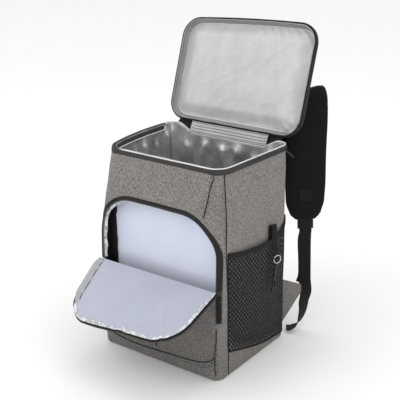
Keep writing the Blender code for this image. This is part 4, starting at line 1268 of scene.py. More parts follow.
def make_lid():
    """The lid as a shallow tray: its cloth, its lining and the tape round its rim."""
    rolled = LID_DEPTH * 0.55
    outer_profile = [(0.0, 0.0), (LID_DEPTH * 0.3, -0.0003), (LID_DEPTH - rolled, 0.0004),
                     (LID_DEPTH - rolled * 0.62, rolled * 0.10),
                     (LID_DEPTH - rolled * 0.3, rolled * 0.34),
                     (LID_DEPTH - rolled * 0.08, rolled * 0.7)]
    rows = [lid_ring(z, inset) for z, inset in reversed([(0.0, LID_WALL)] + outer_profile)]
    middle = P.lid_length / 2 - 0.004

    def back_depth(x, y, inset):
        soft = rumple(x, y, 0, 18, 1) * 0.0014 * ease((inset - rolled) / 0.03)
        return LID_DEPTH + soft

    insets = [rolled + 0.002] + steps_from(rolled + 0.008, middle, 11)
    rows = lid_floor(back_depth, insets[::-1]) + rows
    uv = plain_uv(rows, True)
    shell = cloth_mesh("lid_cloth", rows, uv, finishes()["melange"], closed=True, caps=(0,),
                       thick=0.001)
    settle_piece(shell, "melange", "lid_shell")

    start = 0.0022
    wall = ((-0.0006, start), (0.0020, start + 0.0008), (LID_RECESS * 0.5, start + 0.0022),
            (LID_RECESS * 0.85, start + 0.0042), (LID_RECESS * 0.97, start + 0.0072))
    side_rows = [lid_ring(z, inset, steps=60, arc=12, loosen=0.0016) for z, inset in wall]
    # Painted shade: the lid's side walls take the darkest copy of the silver
    sides = cloth_mesh("lid_side_lining", side_rows, plain_uv(side_rows, True),
                       finishes()["silver_side"], closed=True, thick=THIN_CLOTH)
    settle_piece(sides, "silver")
    make_lid_panel(start + 0.0066)
    path = lid_ring(LID_RECESS * 0.90, start + 0.0068, steps=60, arc=12, loosen=0.0010)
    inner = tube("lid_inner_piping", path, INNER_PIPING, finishes()["piping"], closed=True)
    settle_piece(inner, "silver")
    path = lid_ring(-0.0010, 0.0022, steps=60, arc=12, loosen=0.0008)
    # Painted shade: the outer piping takes a darker copy of the piping's silver
    outer = tube("lid_outer_piping", path, OUTER_PIPING, finishes()["lid_piping"], closed=True)
    settle_piece(outer, "silver", "lid_binding")
    rows = [lid_ring(z, inset, steps=40, arc=12) for z, inset in
            ((-0.0004, 0.0016), (-0.0014, -0.0004), (-0.0008, -0.0018), (0.0020, -0.0022),
             (0.0062, -0.0020), (0.0090, -0.0016), (0.0094, -0.0002))]
    band = cloth_mesh("lid_tape", rows, plain_uv(rows, True), finishes()["dark_tape"], closed=True,
                      thick=0.0004, angle=70)
    settle_piece(band, "black", "lid_band")
    path = lid_ring(0.0004, -0.0014, steps=60, arc=12)
    coil = tube("lid_coil", path, COIL, finishes()["coil"], closed=True)
    settle_piece(coil, "black")


def lid_edge(x, y):
    """Distance from the lid's outline, as far in as its corners are round."""
    over_x = max(abs(x) - (P.half_width + LID_OVERHANG - LID_CORNER), 0)
    over_y = max(abs(y + P.lid_length / 2) - (P.lid_length / 2 - LID_CORNER), 0)
    return LID_CORNER - math.hypot(over_x, over_y)


def make_lid_panel(inset):
    """Pillowed lining panel of the lid, slack along its free edge and in one corner."""
    full, length = P.half_width + LID_OVERHANG, P.lid_length
    rounded = LID_CORNER - inset
    rows, uv = [], []
    for share in steps_from(0, 1, 70):
        y = between(inset - length, -inset, share)
        over = max(abs(y + length / 2) - (length / 2 - LID_CORNER), 0)
        half = full - LID_CORNER + math.sqrt(max(rounded ** 2 - over ** 2, 0))
        line = []
        for x in steps_from(-half, half, 96):
            into = lid_edge(x, y) - inset
            pillow = LID_PILLOW * ease(into / 0.028)
            band = rumple(x + y, (y - x) * 0.35, 0, 24, 4)
            crease = max(0.0, 0.22 - abs(band)) / 0.22
            soft = rumple(x * 0.6, y, 0, 20, 4) * LID_RUMPLE - crease ** 2 * 0.0008
            free = ease((x - 0.005) / 0.03) * ease((-y - length + 0.045) / 0.02)
            loose = ease((x - 0.095) / 0.02) * ease((y + 0.060) / 0.03)
            ripple = 0.5 + 0.5 * math.sin(x * 300 + rumple(x, y, 0, 30, 7) * 3 - y * 160)
            slack = LID_SLACK * max(free, loose) * ripple * math.exp(-((into - 0.008) / 0.008) ** 2)
            depth = LID_RECESS - pillow + soft * ease(into / 0.01) - slack
            line.append(lid_point(x, y, depth))
        rows.append(line)
        uv.append([(x, y) for x in steps_from(-half, half, 96)])
    panel = cloth_mesh("lid_panel_lining", rows, uv, finishes()["silver_lid"],
                       thick=THIN_CLOTH, angle=85)
    settle_piece(panel, "silver", "lid_lining")


def make_hinge():
    """Creased strip between the back rim and the lid."""
    reach = P.half_width - CORNER * 2.2

    def back_rim(far, steps):
        """The back edge of the rim from left to right, as far as a place in x."""
        edge = wall_ring(P.height, WALL * 0.4, loosen=None, steps=steps)
        return sorted((p for p in edge if p.y > P.back - WALL and abs(p.x) < far),
                      key=lambda p: p.x)

    rim = back_rim(reach, 40)
    high = lid_place() @ Vector((0, 0.0012, 0.0012))
    rows, uv = [], []
    count = 26
    for i in range(count + 1):
        share = i / count
        line = []
        for p in rim:
            phase = share * 4 * 2 * math.pi + rumple(p.x, 0, share, 7) * 1.6
            crease = HINGE_CREASE * math.sin(phase)
            line.append(Vector((p.x, between(p.y, high.y, share) + crease,
                                between(p.z + 0.0042, high.z, share))))
        rows.append(line)
        uv.append([(p.x, share * 0.03) for p in rim])
    # Painted shade: the hinge strip takes a darker copy of the silver
    strip = cloth_mesh("hinge_cloth", rows, uv, finishes()["silver_hinge"], thick=STOUT_CLOTH)
    settle_piece(strip, "silver", "hinge_strip")
    # The dark strip behind the hinge shows at both its ends: partly the zipper's black cloth,
    # partly painted shade in the gaps there
    dark = back_rim(reach + 0.030, 60)
    rows = [[Vector((p.x, between(p.y, high.y, s) + 0.0045, between(p.z + 0.001, high.z, s)))
             for p in dark] for s in steps_from(0, 1, 4)]
    back = cloth_mesh("hinge_backing", rows, plain_uv(rows), finishes()["dark_tape"],
                      thick=STOUT_CLOTH)
    settle_piece(back, "black")


# Front pocket's flap

def flap_surface(x, s):
    """Upper face of the flap at a place across it and a distance from its fold."""
    half = P.opening_half + FLAP_OVERLAP
    share = x / (2 * half) + 0.5
    droop = math.radians(between(FLAP_DROOP_LEFT, FLAP_DROOP_RIGHT, share))
    ahead = flap_thickness() * math.sin(math.radians(FLAP_DROOP_LEFT)) + GAP * 2
    start = front(HINGE_HEIGHT) - ahead
    lip = ease((-x - half + FLAP_LIP) / FLAP_LIP) * ease(s / (FLAP_LIP * 2))
    soft = ease(s / 0.02) * (rumple(x, s, 0, 17, 12) * FLAP_RUMPLE
                             + rumple(x * 0.4 + s, s - x * 0.5, 0, 34, 3) * 0.0009)
    for at, lean, reach in FLAP_CREASES:
        away = x - at - lean * s
        soft += FLAP_CREASE * math.exp(-(away / 0.006) ** 2) * ease((s - reach) / 0.03)
    return Vector((x - FLAP_SKEW * s, start - s * math.cos(droop),
                   HINGE_HEIGHT - s * math.sin(droop) + FLAP_LIP * 0.6 * lip + soft))


def flap_plan(inset):
    """The flap's length, half its width and its corners' radius, inset from its edge."""
    length = P.opening_top - HINGE_HEIGHT - inset
    half = P.opening_half + FLAP_OVERLAP - inset
    return length, half, min(FLAP_ROUND, length * 0.45) - inset


def flap_path(inset, steps=180):
    """Places round the flap's free edge, from its right end of the fold to its left."""
    length, half, rounded = flap_plan(inset)
    straight = length - rounded
    path = [(half, s) for s in steps_from(0, straight, steps // 6)]
    for i in range(1, steps // 5):
        turn = math.pi / 2 * i / (steps // 5)
        path.append((half - rounded + rounded * math.cos(turn),
                     straight + rounded * math.sin(turn)))
    path += [(x, length) for x in steps_from(half - rounded, 0, steps // 5)]
    return path + [(-x, s) for x, s in reversed(path[:-1])]


def flap_half(s, inset):
    """Half the flap's width at a distance from its fold."""
    length, half, rounded = flap_plan(inset)
    over = max(0.0, s - (length - rounded))
    return half - rounded + math.sqrt(max(rounded ** 2 - over ** 2, 0.0))


def flap_normal(x, s):
    step = 0.002
    across = flap_surface(x + step, s) - flap_surface(x - step, s)
    along = flap_surface(x, s + step) - flap_surface(x, max(s - step, 0))
    normal = across.cross(along)
    return normal.normalized() * (1 if normal.z > 0 else -1)


def flap_sheet(name, inset, lift, thick, finish, columns=70, count=40):
    length = flap_plan(inset)[0]
    rows, uv = [], []
    for share in steps_from(0, 1, count):
        s = length * (1 - (1 - share) ** 1.6) if share > 0 else 0.0
        half = max(flap_half(s, inset), LEAST_HALF)
        line = steps_from(-half, half, columns)
        rows.append([flap_surface(x, s) + flap_normal(x, s) * lift for x in line])
        uv.append([(x, s) for x in line])
    piece = cloth_mesh(name, rows, uv, finish, thick=thick)
    return outward(piece)


def edge_strip(name, inner, outer, finish, ruffle=0.0, pitch=90, part=(0.0, 1.0), thick=THIN_CLOTH):
    """A strip round the flap's free edge. inner and outer are (inset, lift) of its two sides."""
    a_path, b_path = flap_path(inner[0]), flap_path(outer[0])
    count = min(len(a_path), len(b_path))
    low, high = int(part[0] * count), int(part[1] * (count - 1))
    rows = []
    for i in range(low, high + 1):
        (xa, sa), (xb, sb) = a_path[i], b_path[i]
        wave = math.sin(i * 0.55 + rumple(i * 0.03, 0, 0, 5) * 5) * ruffle
        wave += rumple(xb, sb, 0, pitch, 5) * ruffle
        line = []
        for share in steps_from(0, 1, 4):
            x, s = between(xa, xb, share), between(sa, sb, share)
            grow = 1 + (wave / 0.004 if ruffle else 0) * (1 - share) * 0.5
            x, s = between(xb, x, grow), between(sb, s, grow)
            lift = between(inner[1], outer[1], share)
            lift += wave * math.sin(math.pi * min(share + 0.25, 1))
            line.append(flap_surface(x, max(s, 0.0)) + flap_normal(x, max(s, 0.0)) * lift)
        rows.append(line)
    return outward(cloth_mesh(name, rows, plain_uv(rows), finish, thick=thick, angle=80))


def make_flap():
    """The flap's lining, padded cloth, raw edge, tape and coil, and its lip on the left."""
    # Painted shade: the flap's lining takes the darker copy of the pocket lining
    lining = flap_sheet("flap_lining_cloth", 0.0030, 0.0, LINING * 0.6, finishes()["flap"])
    settle_piece(lining, "lavender", "flap_lining")
    # Painted shade: the flap's cloth takes the darker copy of the outer cloth
    cloth = flap_sheet("flap_cloth", 0.0010, -(LINING + GAP + FLAP_PAD / 2), FLAP_PAD * 0.8,
                       finishes()["melange_low"])
    settle_piece(cloth, "melange", "pocket_flap")
    fray = edge_strip("flap_raw_edge", (0.0062, 0.0004), (0.0002, 0.0014), finishes()["fray"],
                      ruffle=0.0017, part=(0.0, 0.83))
    settle_piece(fray, "lavender")
    tape = edge_strip("flap_tape", (0.0010, 0.0000), (-0.0012, -0.0040), finishes()["dark_tape"])
    settle_piece(tape, "black", "flap_zipper")
    path = [flap_surface(x, s) - flap_normal(x, s) * 0.0040 for x, s in flap_path(-0.0016)]
    coil = tube("flap_coil", path, FLAP_COIL, finishes()["coil"])
    settle_piece(coil, "black")
    lip = edge_strip("flap_lip", (0.0125, 0.0010), (0.0002, 0.0022), finishes()["lip"],
                     ruffle=0.0006, part=(0.80, 0.995), thick=STOUT_CLOTH)
    settle_piece(lip, "silver")
    stitched = flap_path(0.0122)[166:-1]
    points = [flap_surface(x, s) + flap_normal(x, s) * 0.0014 for x, s in stitched]
    normals = [flap_normal(x, s) for x, s in stitched]
    settle_piece(ribbon("lip_stitch", points, normals, 0.0010, finishes()["thread"]), "tape")


def make_opening_zipper():
    """Zipper tape and coil round the pocket's opening, with the raw edge of the lining; the tape's
    left part is black cloth as painted shade.
    """
    foot = HINGE_HEIGHT + GAP
    inner, outer = opening_outline(0.0005, foot), opening_outline(-ZIP_WIDTH - 0.0015, foot)
    lifts = (0.0002, 0.0010, 0.0013, 0.0013, 0.0012, 0.0003)
    rows = []
    for (x0, z0), (x1, z1) in zip(inner, outer):
        rows.append([on_front(between(x0, x1, s), between(z0, z1, s), lift)
                     for s, lift in zip((0, 0.08, 0.3, 0.6, 0.92, 1), lifts)])
    turn = int(len(rows) * 0.70)
    tape = cloth_mesh("opening_tape", rows[:turn + 1], plain_uv(rows[:turn + 1]),
                      finishes()["opening_tape"], thick=THIN_CLOTH, angle=80)
    settle_piece(outward(tape), "tape", "opening_zipper")
    # Painted shade: the left part of the tape takes the black cloth, for the shade it lies in
    shaded = cloth_mesh("opening_tape_left", rows[turn:], plain_uv(rows[turn:]),
                        finishes()["black"], thick=THIN_CLOTH, angle=80)
    settle_piece(outward(shaded), "black")
    path = [on_front(x, z, 0.0012) for x, z in opening_outline(-0.0004, foot)]
    settle_piece(tube("opening_coil", path, OPENING_COIL, finishes()["coil"]), "black")
    edge, deep = opening_outline(0.0012, foot), opening_outline(0.0062, foot)
    rows = []
    count = len(edge)
    for i, ((x0, z0), (x1, z1)) in enumerate(zip(edge, deep)):
        left = ease((i / count - 0.42) / 0.2)
        wave = (math.sin(i * 0.9 + rumple(i * 0.05, 0, 0, 4) * 4) * 0.6
                + rumple(x0, 0, z0, 110) * 0.9)
        grow = (0.22 + 0.78 * left) * (1 + 0.34 * wave)
        line = []
        for share in steps_from(0, 1, 3):
            x, z = between(x0, x1, share * grow), between(z0, z1, share * grow)
            y = front(z) + corner_back(x, z) + 0.0035 + 0.0045 * share + 0.0012 * wave * share
            line.append(settle(x, y, z))
        rows.append(line)
    fray = cloth_mesh("opening_raw_edge", rows, plain_uv(rows), finishes()["fray"],
                      thick=THIN_CLOTH, angle=80)
    settle_piece(outward(fray), "lavender")
    heights = steps_from(ZIP_END, HINGE_HEIGHT + 0.001, 16)
    rows = [[on_front(P.opening_half + (ZIP_WIDTH + 0.0012) * s, z, lift)
             for s, lift in ((0, 0.0004), (0.1, 0.0013), (0.5, 0.0015), (0.9, 0.0013), (1, 0.0004))]
            for z in heights]
    end = cloth_mesh("loose_tape", rows, plain_uv(rows), finishes()["tape"], thick=THIN_CLOTH)
    settle_piece(outward(end), "tape", "zipper_end")


def corner_back(x, z):
    """How far the bag's front recedes where its corner rounds off."""
    rounded = corner(z)
    over = abs(x) - (P.half_width - rounded)
    if over <= 0:
        return 0.0
    return rounded - math.sqrt(max(rounded ** 2 - min(over, rounded) ** 2, 0.0))


def make_pocket_sides():
    """Dark inner faces of the pocket. The left one turns onto the back wall as a ragged black band
    of painted shade.
    """
    for side, sign, reach in (("left", -1, 0.020), ("right", 1, 0.0)):
        rows = []
        for z in steps_from(flap_foot() - 0.02, P.opening_top - 0.012, 24):
            low = front(z) + WALL + corner(z, WALL) * 0.7
            x = sign * (P.half_width - WALL - GAP * 2)
            wall_side = min(abs(x), inner_half(P.divider_front, z) - 0.001)
            line = [settle(x, low, z)]
            line += [settle(sign * wall_side, between(low, P.divider_front - 0.0016, s), z)
                     for s in steps_from(0.3, 1, 4)]
            # Painted shade: the ragged black band on the back wall stands for the shade there
            ragged = reach * (1 + rumple(0, 0, z, 60, 5) * 0.12)
            line += [settle(sign * (wall_side - ragged * s), P.divider_front - 0.0022, z)
                     for s in (0.2, 0.6, 1.0) if reach]
            rows.append(line)
        piece = cloth_mesh(f"pocket_side_cloth_{side}", rows, plain_uv(rows), finishes()["black"],
                           thick=THIN_CLOTH)
        settle_piece(piece, "black", f"pocket_side_{side}")


# Mesh pockets

def mesh_stand(along, up):
    """How far a mesh pocket stands off the bag at a place."""
    across = math.sin(math.pi * min(max(along, 0.0), 1.0)) ** 0.8
    rise = ease(up / 0.35) * (1 - 0.35 * ease((up - 0.6) / 0.4))
    return GAP + MESH_STAND * across * rise


def mesh_point(sign, along, up, lift=0.0):
    """A point of a mesh pocket, by shares from its front to its back and from foot to hem."""
    y = between(-P.back + MESH_FRONT * P.depth, P.back - MESH_BACK * P.depth, along)
    foot = read(MESH_ROWS, "along", "foot", along) * P.height
    top = read(MESH_ROWS, "along", "hem", along) * P.height
    return on_side(sign, y, between(foot, top, up), mesh_stand(along, up) + lift)


def make_mesh_pocket(side, sign):
    """A net of diamond cells, sewn in at three sides, with a bound hem."""
    columns, lines = NET_CELLS
    hem_share = HEM_HEIGHT / (0.52 * P.height)
    reach = 1 - hem_share * 0.6
    wide, tall = NET_SPAN[0] / columns, NET_SPAN[1] / lines
    bm = bmesh.new()
    layer = bm.loops.layers.uv.new("UVMap")
    knots = {}

    def knot(a, b):
        if (a, b) not in knots:
            knots[a, b] = bm.verts.new(mesh_point(sign, a / columns, b / lines * reach, 0.0006))
        return knots[a, b]

    def face(corners, places):
        made = bm.faces.new(corners if sign > 0 else corners[::-1])
        for loop, (a, b) in zip(made.loops, places if sign > 0 else places[::-1]):
            loop[layer].uv = (a * wide, b * tall)

    for i in range(columns + 1):
        for j in range(lines + 1):
            if (i + j) % 2 == 0:
                continue
            spots = [(i, j - 1), (i + 0.5, j - 0.5), (i + 1, j), (i + 0.5, j + 0.5), (i, j + 1),
                     (i - 0.5, j + 0.5), (i - 1, j), (i - 0.5, j - 0.5)]
            spots = [(a, b) for a, b in spots if 0 <= a <= columns and 0 <= b <= lines]
            outer = [knot(a, b) for a, b in spots]
            if len(spots) < 8:
                face(outer, spots)
                continue
            turns = [math.radians(45 * k - 90) for k in range(8)]
            inner = [(i + NET_HOLE[0] * math.cos(t), j + NET_HOLE[1] * math.sin(t))
                     for t in turns]
            hole = [bm.verts.new(mesh_point(sign, a / columns, b / lines * reach, 0.0006))
                    for a, b in inner]
            for k in range(8):
                n = (k + 1) % 8
                face([outer[k], outer[n], hole[n], hole[k]],
                     [spots[k], spots[n], inner[n], inner[k]])
    mesh = bpy.data.meshes.new(f"net_{side}")
    bm.to_mesh(mesh)
    bm.free()
    net = bpy.data.objects.new(f"net_{side}", mesh)
    bpy.context.scene.collection.objects.link(net)
    mesh.materials.append(finishes()["net"])
    apply(net, "SOLIDIFY", thickness=NET_THREAD, offset=-1.0)
    settle_piece(net, "mesh", f"mesh_pocket_{side}")
    rows = []
    for up, lift in ((1 - hem_share, 0.0006), (1 - hem_share * 0.97, 0.0018),
                     (1 - hem_share * 0.5, 0.0021), (0.999, 0.0018), (1.004, 0.0008), (0.999, 0.0),
                     (1 - hem_share * 0.9, -0.0002)):
        rows.append([mesh_point(sign, a, up, lift + rumple(a, up * 0.2, 0, 16, 2) * 0.0006)
                     for a in steps_from(0, 1, 60)])
    hem = cloth_mesh(f"net_hem_{side}", rows, plain_uv(rows), finishes()["black"],
                     thick=TAPE_CLOTH, angle=80)
    settle_piece(hem, "black", f"mesh_hem_{side}")
    edge = [(0.0, up) for up in steps_from(1 - hem_share, 0, 30)]
    edge += [(a, 0.0) for a in steps_from(0, 1, 60)[1:]]
    edge += [(1.0, up) for up in steps_from(0, 1 - hem_share, 30)[1:]]
    path = [mesh_point(sign, a, up, 0.0006) for a, up in edge]
    settle_piece(tube(f"net_edge_{side}", path, NET_EDGE, finishes()["black"]), "black")


def smooth_path(points, steps):
    """Points on a smooth curve through the given points."""
    padded = [points[0] * 2 - points[1]] + points + [points[-1] * 2 - points[-2]]
    made = []
    for a, b, c, d in zip(padded, padded[1:], padded[2:], padded[3:]):
        for i in range(steps):
            t = i / steps
            made.append(0.5 * (2 * b + (c - a) * t + (2 * a - 5 * b + 4 * c - d) * t ** 2
                               + (3 * b - a - 3 * c + d) * t ** 3))
    return made + [points[-1]]


def smooth_values(values, steps):
    made = []
    for a, b in zip(values, values[1:]):
        made += [between(a, b, ease(i / steps) * 0.5 + i / steps * 0.5) for i in range(steps)]
    return made + [values[-1]]


def strap_rows(path, across, widths, thicknesses, profile):
    """Rings of a strap. profile lists (sideways, up) round its section, from -1 to 1."""
    rows = []
    last = len(path) - 1
    for i, p in enumerate(path):
        ahead = (path[min(i + 1, last)] - path[max(i - 1, 0)]).normalized()
        wide = across[i]
        wide = (wide - ahead * wide.dot(ahead)).normalized()
        up = wide.cross(ahead)
        rows.append([p + wide * a * widths[i] / 2 + up * b * thicknesses[i] / 2
                     for a, b in profile])
    return rows


# Section of webbing, from -1 to 1 across and up
FLAT = ((-1, -0.6), (-0.96, -1), (-0.5, -1), (0, -1), (0.5, -1), (0.96, -1), (1, -0.6),
        (1, 0.6), (0.96, 1), (0.5, 1), (0, 1), (-0.5, 1), (-0.96, 1), (-1, 0.6))


def pad_profile():
    """Section of a pad: crowned, thinner towards its bound edges."""
    made = []
    shares = steps_from(-0.97, 0.97, 14)
    for a in shares:
        made.append((a, -(0.42 + 0.58 * math.sqrt(max(1 - (abs(a) ** 3.2), 0)))))
    for a in reversed(shares):
        made.append((a, 0.42 + 0.58 * math.sqrt(max(1 - (abs(a) ** 3.2), 0))))
    return made


def strap(name, path, across, width, thick, finish):
    rows = strap_rows(path, across, [width] * len(path), [thick] * len(path), FLAT)
    piece = cloth_mesh(name, rows, webbing_uv(rows), finish, closed=True, caps=(0, -1), angle=40)
    return outward(piece)


def webbing_uv(rows):
    """Length along a strap in v and distance round its section in u."""
    made, down = [], 0.0
    for r, row in enumerate(rows):
        if r:
            down += (row[0] - rows[r - 1][0]).length
        made.append([(u, down) for u in ring_lengths(row)])
    return made


def make_opener():
    """Webbing loop over the hem of the right mesh pocket, a ring and a bottle opener."""
    hem = mesh_point(1, LOOP_PLACE, 1.0)
    inside = P.half_width * shape("right_back", hem.z)
    middle = (hem.x + inside) / 2
    outer = hem.x + HEM + GAP * 5 + LOOP / 2
    foot = inside + MESH_STAND + 0.0012 + GAP * 3 + OPENER / 2
    half = (outer - middle) / 2
    points = [Vector((middle, hem.y, hem.z - LOOP_DROP * 0.35)), Vector((middle, hem.y, hem.z))]
    for i in range(7):
        turn = math.pi * i / 6
        swell = 1 + 0.5 * math.sin(turn)
        points.append(Vector(((middle + outer) / 2 - half * swell * math.cos(turn),
                              hem.y, hem.z + LOOP_RISE * (0.45 + 0.55 * math.sin(turn)))))
    points += [Vector((outer, hem.y, hem.z - HEM_HEIGHT)),
               Vector((max(foot, outer), hem.y - 0.001, hem.z - LOOP_DROP * 0.7)),
               Vector((max(foot, outer), hem.y - 0.002, hem.z - LOOP_DROP))]
    centre = points[-1] - Vector((0, -0.002, GAP + RING_WIRE + RING_RADIUS))
    points.append(points[-1] + Vector((0.0034, 0, -0.0050)))
    path = smooth_path(points, 5)
    lean = [Vector((0.25, 1, 0))] * len(path)
    loop = strap("opener_webbing", path, lean, LOOP_WIDTH, LOOP, finishes()["webbing"])
    settle_piece(loop, "black", "opener_loop")
    wide_ring = RING_RADIUS * 1.25
    hung = centre + Vector((0.0028, 0, RING_RADIUS - wide_ring + 0.0025))
    bpy.ops.mesh.primitive_torus_add(major_radius=wide_ring, minor_radius=RING_WIRE * 0.7,
                                     major_segments=48, minor_segments=10, location=hung,
                                     rotation=(0, math.pi / 2, math.radians(-22)))
    ring = bpy.context.object
    ring.name = "key_ring"
    bpy.ops.object.transform_apply(location=True, rotation=True, scale=True)
    second = ring.copy()
    second.data = ring.data.copy()
    bpy.context.scene.collection.objects.link(second)
    second.data.transform(Matrix.Translation((RING_WIRE * 0.9, 0, 0)))
    activate(ring)
    second.select_set(True)
    bpy.ops.object.join()
    smooth(ring)
    ring.data.materials.append(finishes()["steel"])
    settle_piece(ring, "steel", "split_ring")
    make_bar()


def make_bar():
    """Flat bottle opener with a cap hole and an eye for the ring."""
    low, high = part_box("bottle_opener")
    tilt = math.radians(OPENER_TILT)
    bar = cube("opener_bar", (OPENER * 0.8, OPENER_WIDTH * 1.1, OPENER_LENGTH * 1.14))
    subdivide(bar, 3)
    for vertex in bar.data.vertices:
        share = vertex.co.z / OPENER_LENGTH
        vertex.co.y *= 0.82 + 0.36 * abs(share) - (0.22 if abs(share) > 0.45 else 0)
    tools = []
    for z, radius, stretch in ((-OPENER_LENGTH * 0.30, CAP_HOLE, 1.9),
                               (OPENER_LENGTH * 0.44, OPENER_EYE, 1)):
        bpy.ops.object.select_all(action="DESELECT")
        bpy.ops.mesh.primitive_cylinder_add(vertices=24, radius=radius, depth=0.02,
                                            rotation=(0, math.pi / 2, 0), location=(0, 0, z))
        tool = bpy.context.object
        tool.scale = (stretch, 1, 1)
        bpy.ops.object.transform_apply(location=True, rotation=True, scale=True)
        tools.append(tool)
    cut(bar, *tools)
    bevel(bar, FINE_EDGE, 40)
    place = (low + high) / 2 + Vector((0.0032, 0.0008, OPENER_LENGTH * 0.07))
    bar.data.transform(Matrix.Translation(place) @ Matrix.Rotation(-tilt, 4, "X"))
    smooth(bar, 35)
    bar.data.materials.append(finishes()["black_metal"])
    settle_piece(bar, "black_metal", "bottle_opener")


# Shoulder straps

def route(rows):
    return [Vector((row["sideways"] * P.half_width, P.back + row["behind"] * P.depth,
                    row["height"] * P.height)) for row in rows]


def heading(degrees):
    turn = math.radians(degrees)
    return Vector((math.cos(turn), math.sin(turn), 0))


def make_strap(side):
    rows = named_rows(PAD_COLUMNS, PADS[side])
    steps = 8
    turns = smooth_values([row["turn"] for row in rows], steps)
    widths = [P.pad_width * w for w in smooth_values([row["width"] for row in rows], steps)]
    thick = [P.pad * t for t in smooth_values([row["thick"] for row in rows], steps)]
    path = smooth_path(route(rows), steps)
    path = [Vector((p.x, max(p.y, P.back + GAP * 2 + t / 2), p.z)) for p, t in zip(path, thick)]
    across = [heading(t) for t in turns]
    rings = strap_rows(path, across, widths, thick, pad_profile())
    pad = cloth_mesh(f"pad_{side}", rings, webbing_uv(rings), finishes()["pad"], closed=True,
                     caps=(0, -1), angle=70)
    outward(pad)
    settle_piece(pad, "black", f"shoulder_pad_{side}")
    sides = [strap_rows(path, across, widths, thick, [(a, 0)]) for a in (-0.985, 0.985)]
    outline = [row[0] for row in sides[0][steps:]] + [row[0] for row in reversed(sides[1][steps:])]
    binding = tube(f"pad_binding_{side}", outline, PAD_BINDING, finishes()["webbing"], sides=10)
    settle_piece(binding, "black")
    make_patch(side, path, across, thick)

    # The lock, the webbing through it and its free tail
    end, down = path[-1], (path[-1] - path[-5]).normalized()
    wide = heading(turns[-1])
    wide = (wide - down * wide.dot(down)).normalized()
    face = wide.cross(down)
    make_lock(side, end + down * GAP, down, wide)
    lock_end = end + down * (GAP * 2 + LOCK_HEIGHT)
    forward = -face if face.y > 0 else face
    behind = forward * (LOCK * 0.4 + WEBBING / 2 + GAP)
    line = strap_line(lock_end + behind, down, WEBBINGS[side], turns[-1], LOCK_HEIGHT)
    web = strap(f"webbing_{side}", *line, P.webbing_width, WEBBING, finishes()["webbing"])
    settle_piece(web, "black", f"strap_webbing_{side}")
    last = line[0]
    line = strap_line(lock_end - forward * (WEBBING / 2 + GAP), down, TAILS[side], turns[-1])
    tail = strap(f"tail_{side}", *line, P.webbing_width, WEBBING, finishes()["webbing"])
    settle_piece(tail, "black", f"webbing_tail_{side}")
    make_wing(side, last[-1], (last[-1] - last[-4]).normalized())


def strap_line(start, down, table, turn, above=0.004):
    """Path and width directions of webbing that leaves the lock."""
    columns = named_rows(WEBBING_COLUMNS, table)
    points = [start + down * P.webbing_width * 0.2] + route(columns)
    turns = [turn] + [row["turn"] for row in columns]
    path = [start - down * above] + smooth_path(points, 10)
    return path, [heading(t) for t in turns[:1] + smooth_values(turns, 10)]


def make_patch(side, path, across, thick):
    """A box-stitched patch on the outer face of the pad."""
    at = int(len(path) * (0.80 if side == "right" else 0.74))
    p, wide = path[at], across[at]
    ahead = (path[at + 2] - path[at - 2]).normalized()
    wide = (wide - ahead * wide.dot(ahead)).normalized()
    up = wide.cross(ahead)
    facing = 1 if up.y < 0 else -1
    middle = p + up * facing * (thick[at] / 2 - 0.0002)
    rows = [[middle + wide * a * PATCH_HALF + ahead * b * PATCH_HALF + up * facing * 0.0012
             for a in steps_from(-1, 1, 8)] for b in steps_from(-1, 1, 8)]
    patch = cloth_mesh(f"pad_patch_{side}", rows, plain_uv(rows), finishes()["black"],
                       thick=0.0012)
    outward(patch)
    bevel(patch, FINE_EDGE, 60)
    settle_piece(patch, "black")
    box = [(-1, -1), (1, -1), (1, 1), (-1, 1), (-1, -1), (1, 1), (1, -1), (-1, 1)]
    points = []
    for (a0, b0), (a1, b1) in zip(box, box[1:]):
        points += [middle + wide * between(a0, a1, s) * PATCH_HALF * 0.8
                   + ahead * between(b0, b1, s) * PATCH_HALF * 0.8 + up * facing * 0.0020
                   for s in steps_from(0, 1, 6)[:-1]]
    stitch = tube(f"patch_stitch_{side}", points, PATCH_STITCH, finishes()["black"], sides=6)
    settle_piece(stitch, "black")


def make_lock(side, top, down, wide):
    """Ladder lock: a moulded frame with three bars."""
    lock = cube(f"lock_{side}", (P.webbing_width * 1.3, LOCK_HEIGHT, LOCK * 0.8))
    slot = (P.webbing_width * 0.92, LOCK_HEIGHT * 0.24, LOCK * 3)
    cut(lock, *[cube("slot", slot, (0, share * LOCK_HEIGHT, 0)) for share in (-0.22, 0.20)])
    bevel(lock, LOCK_EDGE, 40)
    middle = top + down * LOCK_HEIGHT / 2
    turn = Matrix((wide, down, wide.cross(down))).transposed().to_4x4()
    lock.data.transform(Matrix.Translation(middle) @ turn)
    smooth(lock, 35)
    lock.data.materials.append(finishes()["plastic"])
    settle_piece(lock, "lock", f"ladder_lock_{side}")


